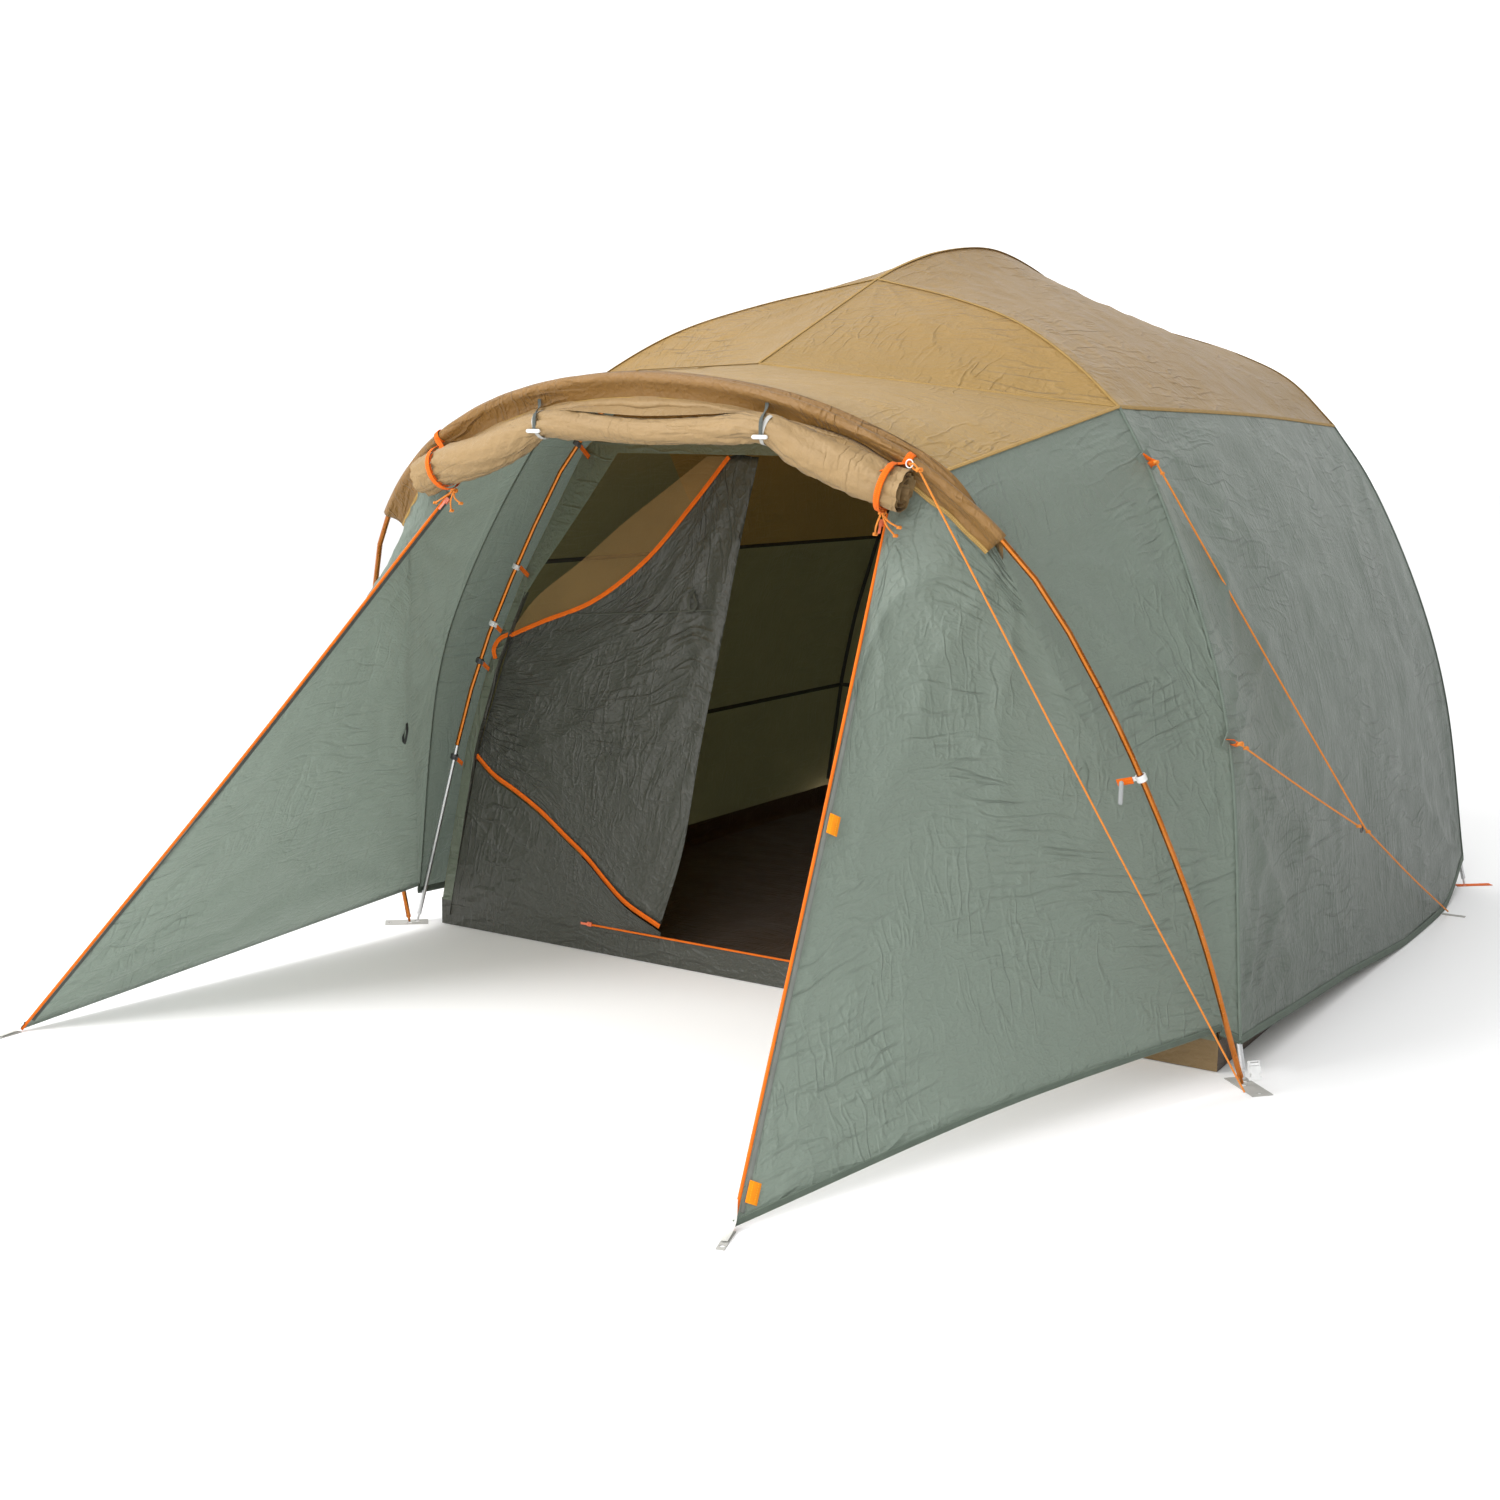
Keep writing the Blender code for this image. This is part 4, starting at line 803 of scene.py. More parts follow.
def netting(name, colour):
    """Fine insect mesh, with real holes between its threads."""
    finish = Finish(name, 0.8, Sheen_Weight=0.2)
    flat = finish.cloth_map()
    waves = [finish.math("ABSOLUTE", part.sine(0.0044)) for part in finish.parts(flat)[:2]]
    thread = finish.math("MINIMUM", *waves)
    base = finish.mottle(finish.noise(flat, 6.0), colour, 0.85, 1.15)
    return finish.connect(base, None, finish.bump(thread, 0.0002), thread.spread(0.42, 0.5, 1.0, 0.0))


def webbing(name, colour, width=0.02, stitched=False):
    """Woven tape: ribs across, fuzz, and rows of stitches where it is sewn."""
    finish = Finish(name, 0.78, Sheen_Weight=0.05, Specular_IOR_Level=0.15)
    flat = finish.cloth_map()
    along, across, _ = finish.parts(flat)
    weave = along.sine(0.0016) * across.sine(0.0022)
    fuzz = finish.noise(flat, 900.0, 2.0)
    height = weave + fuzz
    base = finish.mottle(finish.noise(flat, 25.0), colour, 0.88, 1.1)
    # Painted shade: darker in the hollows of the weave.
    base = finish.blend(weave.spread(-1.0, 1.0, 0.3, 0.0), base, shade(colour, 0.6))
    if stitched:
        row = finish.math("COMPARE", finish.math("ABSOLUTE", across), width * 0.3, 0.0006)
        stitch = row * finish.math("GREATER_THAN", along.sine(0.0045), -0.35)
        base = finish.blend(stitch * 0.7, base, shade(colour, 1.9))
        height = height + stitch * 3.0
    return finish.connect(base, fuzz.spread(0.3, 0.7, 0.7, 0.86), finish.bump(height, 0.00012))


def plastic(name, colour, roughness=0.42):
    """Moulded plastic: a fine spark-eroded grain, flow marks and scuffed edges."""
    finish = Finish(name, roughness, Coat_Weight=0.08, Coat_Roughness=0.3)
    place = finish.place()
    flow = finish.noise(place, 70.0)
    edge = finish.node("ShaderNodeNewGeometry", "Pointiness").spread(0.52, 0.6, 0.0, 0.5)
    base = finish.mottle(flow, colour, 0.9, 1.08)
    base = finish.blend(edge, base, tuple(c * 0.7 + 0.12 for c in colour))
    rough = flow.spread(0.3, 0.7, roughness - 0.08, roughness + 0.12)
    return finish.connect(base, rough, finish.bump(finish.noise(place, 1600.0, 2.0), 0.00006))


def tubing(name, colour, roughness, fade_to):
    """Anodised aluminium tube: hazy patches and small scratches."""
    finish = Finish(name, roughness, Metallic=1.0)
    place = finish.place()
    haze = finish.noise(place, 18.0, 4.0)
    scratch = finish.noise(place, 420.0, 2.0)
    mark = scratch.spread(0.63, 0.7, 0.0, 1.0)
    base = finish.blend(haze.spread(0.35, 0.7, 0.0, 0.6), colour, fade_to)
    base = finish.blend(mark * 0.35, base, tuple(c * 0.5 + 0.4 for c in colour))
    rough = haze.spread(0.3, 0.7, roughness - 0.06, roughness + 0.1) + mark * 0.15
    return finish.connect(base, rough, finish.bump(scratch, 0.00002))


def braid(name, colour, fleck):
    """Braided cord: two sets of strands that cross, with a fleck of another colour."""
    finish = Finish(name, 0.7, Sheen_Weight=0.05, Specular_IOR_Level=0.2)
    along, around, _ = finish.parts(finish.cloth_map())
    turn = 2 * math.pi / 0.0016
    strands = [finish.math("SINE", around * (way * turn) + along * (2 * math.pi / 0.0032))
               for way in (1.0, -1.0)]
    height = finish.math("MAXIMUM", *strands)
    base = finish.blend(strands[0].spread(0.4, 0.9, 0.0, 0.45), colour, fleck)
    # Painted shade: darker in the grooves between the strands.
    base = finish.blend(height.spread(-0.2, 0.9, 0.4, 0.0), base, shade(colour, 0.45))
    return finish.connect(base, None, finish.bump(height, 0.0003))


TAN = linear(174, 141, 82)
TAN_DEEP = linear(168, 132, 78)
SAGE = linear(122, 134, 123)
SAGE_DEEP = linear(104, 116, 104)
GREY_GREEN = linear(104, 94, 68)
BROWN = linear(70, 50, 26)
ORANGE = linear(220, 100, 18)
AMBER = linear(243, 144, 22)

SKIN = {
    "tan": (fabric("tan_fly", TAN, through=0.35, glow=1.3), "tan_fabric"),
    "visor": (fabric("tan_visor", linear(138, 101, 48), through=0.15), "tan_fabric"),
    "tan_shade": (fabric("tan_canopy", TAN_DEEP, through=0.6, glow=1.4), "tan_fabric"),
    "tan_roll": (fabric("tan_roll", linear(146, 119, 78), crease=0.003, roughness=0.55), "tan_fabric"),
    "sage": (fabric("sage_fly", SAGE, through=0.3, glow=1.3), "sage_fabric"),
    # The side walls carry painted shade that darkens them towards the foot.
    "sage_side": (fabric("sage_side_wall", SAGE, through=0.25, glow=1.1, low_shade=0.55),
                  "sage_fabric"),
    "sage_front": (fabric("sage_front_wall", linear(104, 112, 96), through=0.1), "grey_fabric"),
    "hem": (webbing("sage_binding", shade(SAGE_DEEP, 0.75), 0.02, stitched=True), "sage_fabric"),
    "sage_seam": (webbing("sage_seam_tape", shade(SAGE, 0.8), 0.008, stitched=True), "sage_fabric"),
    "tan_seam": (webbing("tan_seam_tape", shade(TAN, 0.8), 0.008, stitched=True), "tan_fabric"),
    "grey": (fabric("grey_canopy", GREY_GREEN, through=0.6, glow=3.4), "grey_fabric"),
    "door": (fabric("grey_door", linear(61, 62, 54), crease=0.005, roughness=0.38), "grey_fabric"),
    "floor": (fabric("floor_fabric", BROWN, roughness=0.6, crease=0.0022), "floor_fabric"),
    "door_seam": (webbing("door_seam_tape", linear(72, 74, 66), 0.008), "grey_fabric"),
    "olive": (fabric("olive_floor_corner", linear(120, 97, 60), roughness=0.5), "floor_fabric"),
    "mesh": (netting("tan_netting", linear(146, 114, 66)), "tan_mesh"),
    "grey_web": (webbing("grey_webbing", linear(176, 175, 170)), "grey_webbing"),
    "pale_web": (webbing("pale_webbing", linear(214, 214, 208)), "grey_webbing"),
    "dark_web": (webbing("dark_webbing", linear(52, 54, 52)), "grey_webbing"),
    "lilac_tape": (webbing("grey_zip_tape", linear(122, 126, 120), 0.012), "grey_webbing"),
    "dark_tape": (webbing("dark_zip_tape", linear(84, 88, 84), 0.012), "grey_webbing"),
    "orange_tape": (webbing("orange_tape", ORANGE, 0.012, stitched=True), "orange_webbing"),
    "piping": (webbing("orange_piping", linear(224, 108, 24), 0.004), "orange_webbing"),
    "amber_tab": (webbing("amber_tab", AMBER, 0.02, stitched=True), "orange_webbing"),
    "cord": (braid("orange_cord", linear(244, 142, 48), linear(250, 190, 110)), "orange_cord"),
    "orange_tube": (tubing("anodised_orange_tube", (0.46, 0.14, 0.02), 0.27, (0.56, 0.2, 0.05)), None),
    "silver_tube": (tubing("brushed_silver_tube", (0.62, 0.63, 0.64), 0.34, (0.75, 0.75, 0.75)), None),
    "black": (plastic("black_moulding", (0.022, 0.022, 0.024), 0.45), "black_plastic"),
    "pale": (plastic("pale_moulding", (0.7, 0.71, 0.7), 0.4), "pale_plastic"),
    "mid_grey": (plastic("grey_moulding", linear(140, 143, 143), 0.4), None),
    "orange_plastic": (plastic("orange_moulding", linear(225, 95, 30), 0.45), None),
}


# ---------------------------------------------------------------- camera, floor and light

def build_camera():
    yaw, pitch, roll = -0.561502, -0.163881, 0.0130076
    ahead = Vector((math.sin(yaw) * math.cos(pitch), math.cos(yaw) * math.cos(pitch),
                    math.sin(pitch)))
    level = ahead.cross(Vector((0, 0, 1))).normalized()
    over = level.cross(ahead)
    side = level * math.cos(roll) + over * math.sin(roll)
    top = over * math.cos(roll) - level * math.sin(roll)
    data = bpy.data.cameras.new("camera")
    data.lens = 44.8
    data.sensor_width = 36.0
    data.clip_end = 200.0
    camera = bpy.data.objects.new("camera", data)
    matrix = Matrix((side, top, -ahead)).transposed().to_4x4()
    matrix.translation = (2.3566, -5.0006, 1.3647)
    camera.matrix_world = matrix
    bpy.context.scene.collection.objects.link(camera)
    bpy.context.scene.camera = camera


def build_stage():
    bpy.ops.mesh.primitive_plane_add(size=120.0, location=(0.0, 0.0, -0.0005))
    floor = bpy.context.object
    floor.name = "studio_floor"
    finish = Finish("studio_floor", 0.9, Specular_IOR_Level=0.1)
    finish.shader.inputs["Base Color"].default_value = (0.94, 0.94, 0.94, 1.0)
    floor.data.materials.append(finish.material)


def add_light(name, place, target, size, power):
    data = bpy.data.lights.new(name, "AREA")
    data.shape = "DISK"
    data.size = size
    data.energy = power
    lamp = bpy.data.objects.new(name, data)
    lamp.location = place
    aim = Vector(target) - Vector(place)
    lamp.rotation_euler = aim.to_track_quat("-Z", "Y").to_euler()
    bpy.context.scene.collection.objects.link(lamp)


def build_light():
    world = bpy.data.worlds.new("studio")
    world.use_nodes = True
    backdrop = world.node_tree.nodes["Background"]
    backdrop.inputs["Color"].default_value = (1.0, 1.0, 1.0, 1.0)
    tree = world.node_tree
    place = tree.nodes.new("ShaderNodeTexCoord")
    parts = tree.nodes.new("ShaderNodeSeparateXYZ")
    fall = tree.nodes.new("ShaderNodeMapRange")
    ends = {"From Min": 0.1, "From Max": 0.85, "To Min": 1.27, "To Max": 0.45}
    for socket, value in ends.items():
        fall.inputs[socket].default_value = value
    tree.links.new(place.outputs["Generated"], parts.inputs[0])
    tree.links.new(parts.outputs["X"], fall.inputs["Value"])
    tree.links.new(fall.outputs["Result"], backdrop.inputs["Strength"])
    bpy.context.scene.world = world
    add_light("key", (-3.0, -5.0, 6.0), (0.0, -0.5, 0.8), 3.5, 300.0)
    add_light("fill", (1.5, -7.0, 3.0), (0.0, -0.8, 0.8), 4.0, 190.0)
    bpy.context.scene.view_settings.view_transform = "Standard"


build_camera()
build_stage()
build_light()


# ---------------------------------------------------------------- guy lines

def taut_run(start, finish, sag, count):
    """Points along a taut line with a little sag."""
    start, finish = np.asarray(start, float), np.asarray(finish, float)
    path = Path([start, (start + finish) / 2 - UP * sag, finish])
    return path.spaced(count)


def guy_line(name, route, node):
    shape = tube(route, GUY_R, 10)
    piece = group(name, [shape], "cord", replaces=[node])
    return piece


def build_guys():
    head = arch_point(*ARCH_GUY_HEAD)
    guy_line("arch_guy_line", taut_run(head, ARCH_GUY_FOOT, 0.006, 30), "arch_guy")
    high = seam_point(RIGHT, FRONT, *GUY_OUT_HIGH, proud=GUY_OUT_PROUD)
    low = seam_point(RIGHT, FRONT, *GUY_OUT_LOW, proud=GUY_OUT_PROUD)
    ring = np.array(GUY_RING)
    beside = ring + np.array((GUY_R + RING_THICK + 0.003, 0.0, 0.0))
    route = np.concatenate([taut_run(high, beside, 0.004, 20),
                            taut_run(beside, SIDE_STAKE, 0.005, 24)[1:]])
    guy_line("side_guy_long_line", route, "side_guy_long")
    near = ring + unit(low - ring) * (RING_R + 0.003)
    guy_line("side_guy_short_line", taut_run(low, near, 0.003, 12), "side_guy_short")


build_guys()


# ---------------------------------------------------------------- fly

def build_walls_and_roof():
    for word, side in (("right", RIGHT), ("left", LEFT)):
        front, rear = seam_low(side, FRONT), seam_low(side, REAR)
        eave = eave_path(side)
        hem = side_hem_path(side)
        pulls = [
            (seam_point(side, FRONT, *GUY_OUT_HIGH), 0.5, 0.006, 11),
            (seam_point(side, FRONT, *GUY_OUT_LOW), 0.45, 0.008, 13),
            (hem.at(0.0), 0.45, 0.007, 15),
            (hem.at(1.0), 0.5, 0.006, 15),
            (eave.at(0.0), 0.5, 0.005, 11),
            (eave.at(1.0), 0.5, 0.005, 11),
        ]
        grid = rumpled(patch(hem, eave, front, rear), 11.0 + side, 0.0048, pulls, stretch=(1.0, 0.8))
        cloth(f"fly_side_{word}", [grid], "sage_side", (side, 0, 0),
              replaces=[f"fly_wall_{word}"])
        ridge = ridge_path()
        grid = patch(eave, ridge, seam_high(side, FRONT), seam_high(side, REAR), ROOF_SAG,
                     (side * 0.5, 0, 0.85))
        pulls = [(eave.at(0.0), 0.4, 0.0028, 13), (eave.at(1.0), 0.4, 0.0028, 13),
                 (ridge.at(0.0), 0.4, 0.0028, 17), (ridge.at(1.0), 0.4, 0.0028, 17)]
        grid = rumpled(grid, 23.0 + side, 0.0034, pulls)
        cloth(f"fly_top_{word}", [grid], "tan", (side, 0, 1), replaces=[f"fly_roof_{word}"])


def half_triangle(end, foot_point, centre_points=()):
    """The right half of a roof triangle that runs from its hub down to `foot_point`."""
    seam = seam_high(RIGHT, end)
    apex = seam.at(1.0).copy()
    apex[0] = 0.0
    centre = Path([foot_point, *centre_points, apex])
    bottom = Path([foot_point, seam.at(0.0)])
    top = Path([apex, apex + np.array((0.00001, 0.0, 0.0))])
    return patch(bottom, top, centre, seam)


def build_end_triangles():
    middle = rear_eave_middle()
    crown = point(0.0, (middle[1] + HUB_Y) / 2 + 0.02, 1.672)
    for word, end, foot, centre in (("front", FRONT, BROW, []),
                                    ("rear", REAR, middle, [crown])):
        half = half_triangle(end, foot, centre)
        apex = half[-1, 0]
        pulls = [(apex, 0.35, 0.0026, 19), (half[0, -1], 0.35, 0.0026, 13)]
        grid = mirrored(rumpled(half, 31.0 + end, 0.003, pulls))
        cloth(f"fly_gable_{word}", [grid], "tan", (0, end * 0.5, 1),
              replaces=[f"fly_roof_{word}"])


def build_rear_wall():
    seam = seam_low(RIGHT, REAR)
    foot = seam.at(0.0)
    middle = rear_eave_middle()
    stake = point(0.0, foot[1] + 0.06, HEM_LIFT)
    top = Path([middle, seam.at(1.0)])
    bottom = Path([stake, point(0.62, foot[1] + 0.035, 0.04), foot])
    centre = Path([stake, point(0.0, foot[1] + 0.03, 0.75), middle])
    grid = mirrored(patch(bottom, top, centre, seam))
    pulls = [(stake, 0.5, 0.004, 13), (foot, 0.5, 0.004, 15), (foot * (-1, 1, 1), 0.5, 0.004, 15)]
    grid = rumpled(grid, 41.0, 0.0048, pulls)
    cloth("fly_back", [grid], "sage", (0, 1, 0), replaces=["fly_wall_rear"])
    return Path([bottom.at(1 - i / 20) * (-1, 1, 1) for i in range(20)]
                + [bottom.at(i / 20) for i in range(21)], 1)


def build_vestibule_roof():
    corner = shoulder_point(RIGHT, FRONT)
    shoulder = sleeve_spot(*SLEEVE_SHOULDER)
    bottom = Path([BROW, corner])
    top = Path([CREST, sleeve_spot(0.35, 1.572), sleeve_spot(0.55, 1.497), shoulder])
    half = patch(bottom, top, Path([BROW, CREST]), Path([corner, shoulder]))
    grid = mirrored(half)
    pulls = [(corner, 0.3, 0.0025, 13), (corner * (-1, 1, 1), 0.3, 0.0025, 13),
             (shoulder, 0.25, 0.0025, 11)]
    grid = rumpled(grid, 51.0, 0.003, pulls, hold=0.05)
    cloth("fly_porch_roof", [grid], "tan", (0, -0.3, 1), replaces=["fly_vestibule_roof"])


def build_wing(word):
    """A vestibule side: wall from the corner seam to the arch pole, and the wing beyond it."""
    side, _, _, hollow, _ = WINGS[word]
    ridge, edge = wing_edge(side)
    seam = seam_low(side, FRONT)
    split = Path(ridge).length
    crease = edge.part(0.0, split)
    upper = edge.part(split, edge.length)
    seam_main = seam.part(0.0, seam.length * 0.86)
    seam_top = seam.part(seam.length * 0.86, seam.length)
    middle = Path([crease.at(1.0), seam_main.at(1.0)])
    shoulder, corner = edge.at(1.0), seam.at(1.0)
    tall = round(crease.length / CELL)
    wide = round(middle.length / CELL) + 4
    wall = patch(Path([crease.at(0.0), seam.at(0.0)]), middle, crease, seam_main, across=wide, up=tall)
    eave = patch(middle, Path([shoulder, corner]), upper, seam_top, across=wide)
    zip_edge = zip_path(word)
    wing = patch(wing_hem(word), wing_top(word), zip_edge, crease, hollow,
                 (side * 0.85, -0.52, 0.0), up=tall)
    flip = float(side)
    pulls = [(crease.at(1.0), 0.5, 0.007, 17), (wing[0, 0], 0.6, 0.007, 19),
             (crease.at(0.0), 0.4, 0.004, 15), (zip_edge.at(1.0), 0.45, 0.0045, 15)]
    wing = rumpled(wing, 61.0 + side, 0.0046, pulls, hold=0.045, stretch=(1.0, 0.75), sign=flip)
    pulls = [(crease.at(1.0), 0.4, 0.008, 15), (crease.at(0.0), 0.4, 0.007, 15),
             (seam.at(0.45), 0.4, 0.007, 13)]
    wall = rumpled(wall, 71.0 + side, 0.0042, pulls, hold=0.05, stretch=(1.1, 0.7), sign=flip)
    eave = rumpled(eave, 81.0 + side, 0.002, hold=0.05)
    return cloth(f"fly_wing_{word}", [wing, wall, eave], "sage", (side, -0.6, 0),
                 replaces=[f"fly_vestibule_{word}"])


VISOR_PROFILE = [(-0.004, -0.0112), (0.004, -0.0112), (0.0095, -0.006), (0.0116, 0.0), (0.0095, 0.006),
                 (0.003, 0.0108), (-0.004, 0.0118)]


def sleeve_line():
    """The top edge of the vestibule's roof and sides, just behind and inside the arch pole."""
    half = [(0.79, 1.215), (0.755, 1.32), SLEEVE_SHOULDER, (0.55, 1.497), (0.35, 1.572)]
    return Path([sleeve_spot(-x, h) for x, h in half] + [CREST]
                + [sleeve_spot(x, h) for x, h in reversed(half)])


def visor_grid():
    """The sleeve over the arch pole, tucked into the roof, with a band hanging inside it."""
    count = round(1.9 / CELL * 1.4)
    shares = np.linspace(0.0, 0.5, 800)
    start = next(s for s in shares if abs(ARCH.at(s)[0]) < VISOR_REACH)
    line = sleeve_line()
    drops = np.linspace(0.0, 1.0, 8)[1:]
    columns = []
    for i in range(count + 1):
        share = start + (1 - 2 * start) * i / count
        x = ARCH.at(share)[0]
        ruck = 0.5 * math.sin(x * 31 + 1.3) + 0.35 * math.sin(x * 67)
        shoulder = math.exp(-((abs(x) - 0.7) / 0.12) ** 2)
        back = line.at(i / count)
        first = arch_offset(share, *VISOR_PROFILE[0])
        column = [back, back * 0.5 + first * 0.5 + UP * 0.002]
        column += [arch_offset(share, outward + 0.0006 * ruck, forward)
                   for outward, forward in VISOR_PROFILE]
        for part in drops:
            fold = math.sin(x * 88 + 3 * part) * shoulder * 0.0022
            wave = (0.0016 * ruck + fold) * math.sin(math.pi * part * 0.6)
            belly = -0.006 * math.sin(math.pi * part)
            column.append(arch_offset(share, -0.004 - VISOR_DROP * part,
                                      0.0108 - 0.012 * part + wave + belly))
        columns.append(column)
    return np.array(columns).transpose(1, 0, 2)


def build_visor():
    grid = visor_grid()
    cloth("visor_hood", [grid], "visor", (0, -0.4, 1), replaces=["arch_visor"],
          thick=CLOTH)
    edge = grid[-1]
    group("visor_hem", [ribbon(edge + FORWARD * 0.0006, FORWARD, 0.011, 0.002)], "tan_seam")


def roll_path():
    return Path([arch_point(x, h, ROLL_DEPTH) for x, h in ROLL_ROUTE])


def roll_drop(x):
    """The middle of the roll is thinner, and hangs lower by as much."""
    return 0.0105 * math.exp(-((x - 0.06) / 0.23) ** 4)


def roll_width(x):
    pinch = sum(0.013 * math.exp(-((x - at) / 0.05) ** 2) for at in ROLL_LOOPS)
    pinch += sum(0.005 * math.exp(-((x - at) / 0.03) ** 2) for at in ROLL_BANDS)
    return 0.042 + 0.009 * min(1.0, abs(x - 0.05) / 0.5) ** 2 - pinch - roll_drop(x)


def roll_share(x):
    return share_at(roll_path(), x, 301)


def build_roll():
    """The door rolled up under the arch: a spiral of cloth, pinched where it is tied."""
    path = roll_path()
    length = round(path.length / (CELL * 0.55))
    turns, around = 3.25, 30
    count = int(turns * around)
    rows = [[] for _ in range(count + 1)]
    for k in range(length + 1):
        share = k / length
        centre, heading = path.at(share), path.heading(share)
        centre = centre - OVER * roll_drop(centre[0])
        ahead = unit(FORWARD - heading * heading.dot(FORWARD))
        lift = np.cross(heading, ahead)
        if lift[2] < 0:
            lift = -lift
        full = roll_width(centre[0])
        for n in range(count + 1):
            turn = n / around
            angle = 2 * math.pi * turn + 1.9
            inner = 0.32 + 0.68 * (turn / turns) ** 0.8
            place = Vector((math.cos(angle) * 0.9, math.sin(angle) * 0.9, centre[0] * 7.0 + turn))
            lump = noise.noise(place) * 0.09
            gather = sum(math.exp(-abs(centre[0] - at) / 0.07) for at in ROLL_LOOPS)
            gather += 0.5 * sum(math.exp(-abs(centre[0] - at) / 0.05) for at in ROLL_BANDS)
            twist = angle * 1.6 + (centre[0] - 0.06) * 9
            place = Vector((math.cos(twist) * 2.3, math.sin(twist) * 2.3, turn))
            crease = 1 - abs(noise.noise(place) * 4)
            radius = full * inner * (0.97 + (lump + crease * (0.05 + 0.16 * gather)) * inner)
            offset = ahead * math.cos(angle) * radius * 1.02 + lift * math.sin(angle) * radius * 0.96
            rows[n].append(centre + offset)
    cloth("door_roll", [np.array(rows)], "tan_roll", FORWARD, replaces=["rolled_door"])


HEAD_FOLD = [(-0.58, 1.41), (-0.48, 1.455), (-0.27, 1.522), (-0.13, 1.542), (0.04, 1.547),
             (0.265, 1.532), (0.33, 1.513), (0.39, 1.508), (0.515, 1.472), (0.61, 1.41)]


def build_roll_head():
    """The head of the door: a loose fold from under the visor, which tucks in over the roll."""
    count = round(1.3 / (CELL * 0.7))
    fold = Path([arch_point(x, h, 0.01) for x, h in HEAD_FOLD])
    rolls = roll_path().sample(np.linspace(0.0, 1.0, 400))
    columns = []
    for i in range(count + 1):
        low = fold.at(i / count)
        x = low[0]
        spot = arch_share(x)
        roll = rolls[np.argmin(np.abs(rolls[:, 0] - x))]
        ruck = 0.004 * math.sin(x * 27 + 1.0) + 0.003 * math.sin(x * 59)
        knots = [arch_offset(spot, -0.014, -0.004), arch_offset(spot, -0.04, -0.007 + ruck * 0.4),
                 low + OVER * 0.012 + FORWARD * (0.006 + ruck), low + FORWARD * ruck,
                 low + OVER * 0.007 - FORWARD * 0.01, roll + OVER * roll_width(x) * 0.8]
        columns.append(Path(knots, 6).sample(np.linspace(0.0, 1.0, 16)))
    grid = np.array(columns).transpose(1, 0, 2)
    cloth("door_head", [grid], "tan_roll", FORWARD)


build_walls_and_roof()
build_end_triangles()
REAR_HEM = build_rear_wall()
build_vestibule_roof()
build_wing("right")
build_wing("left")
build_visor()
build_roll()
build_roll_head()


# ---------------------------------------------------------------- inner tent

def canopy_turn(levels):
    """The canopy's left side, back and right side between some levels, as three grids."""
    rows = []
    for z in levels:
        x, y = inner_level(z)
        turn = [point(-x, -y + 0.004, z), point(-x, y, z), point(x, y, z), point(x, -y + 0.004, z)]
        row = []
        for a, b in zip(turn, turn[1:]):
            steps = round(2.2 / CANOPY_CELL)
            row += [a + (b - a) * i / steps for i in range(steps)]
        rows.append(row + [turn[-1]])
    grid = np.array(rows)
    third = (grid.shape[1] - 1) // 3
    return [grid[:, n * third:(n + 1) * third + 1] for n in range(3)]


def row_part(row, start, finish, count):
    """Points along part of a row of a grid."""
    spots = np.linspace(start, finish, count) * (len(row) - 1)
    return np.array([np.interp(spots, np.arange(len(row)), row[:, n]) for n in range(3)]).T


def build_inner_walls():
    """Grey walls with a tan upper part that starts below the eave, behind grey front corners."""
    low = canopy_turn(np.linspace(WALL_FOOT, TAN_LEVEL, round(0.95 / CANOPY_CELL)))
    for number, piece in enumerate(low):
        pulls = [(piece[0, 0], 0.4, 0.007, 17), (piece[0, -1], 0.4, 0.007, 17)]
        low[number] = rumpled(piece, 91.0 + number, 0.006, pulls, hold=0.05)
    cloth("canopy_sides", low, "grey", (0, 1, 0), replaces=["inner_canopy_walls"])
    high = canopy_turn(np.linspace(TAN_LEVEL, EAVE_Z, round(0.4 / CANOPY_CELL)))
    high = [rumpled(piece, 95.0 + number, 0.004, hold=0.05) for number, piece in enumerate(high)]
    corners = []
    for number, flip in ((0, False), (2, True)):
        grid = high[number][:, ::-1] if flip else high[number]
        cuts = [0.19 + 0.8 * max(0.0, 1.36 - float(row[0, 2])) for row in grid]
        front = np.array([row_part(row, 0.0, cut, 12) for row, cut in zip(grid, cuts)])
        rest = np.array([row_part(row, cut, 1.0, grid.shape[1]) for row, cut in zip(grid, cuts)])
        corners.append(front[:, ::-1] if flip else front)
        high[number] = rest[:, ::-1] if flip else rest
    cloth("canopy_upper_sides", high, "tan_shade", (0, 1, 0))
    cloth("canopy_front_corners", corners, "grey", (0, 1, 0))


def build_inner_front():
    levels = np.concatenate([np.linspace(WALL_FOOT, JAMB_TURN_Z, 22),
                             np.linspace(JAMB_TURN_Z, DOOR_HEAD_Z, 12)[1:],
                             [1.365, EAVE_Z]])
    rows = []
    for z in levels:
        x, _ = inner_level(z)
        edge = 1 - 0.004 / x
        jamb = left_jamb(min(z, DOOR_HEAD_Z))
        marks = np.concatenate([np.linspace(-edge, jamb, 5), np.linspace(jamb, DOOR_JAMB, 44)[1:],
                                np.linspace(DOOR_JAMB, edge, 3)[1:]])
        rows.append([front_point(u, z) for u in marks])
    grid = np.array(rows)

    def outside_door(cells):
        centre = (cells[1:, 1:] + cells[:-1, :-1]) / 2
        half = np.array([[inner_level(c[2])[0] for c in row] for row in centre])
        jambs = np.array([[left_jamb(min(c[2], DOOR_HEAD_Z)) for c in row] for row in centre])
        inside = (centre[..., 0] > half * jambs) & (centre[..., 0] < half * DOOR_JAMB)
        return (centre[..., 2] > DOOR_HEAD_Z) | ~inside

    cloth("canopy_front", [grid], "sage_front", (0, -1, 0), replaces=["inner_front_wall"],
          keep=outside_door, strip=4.6)


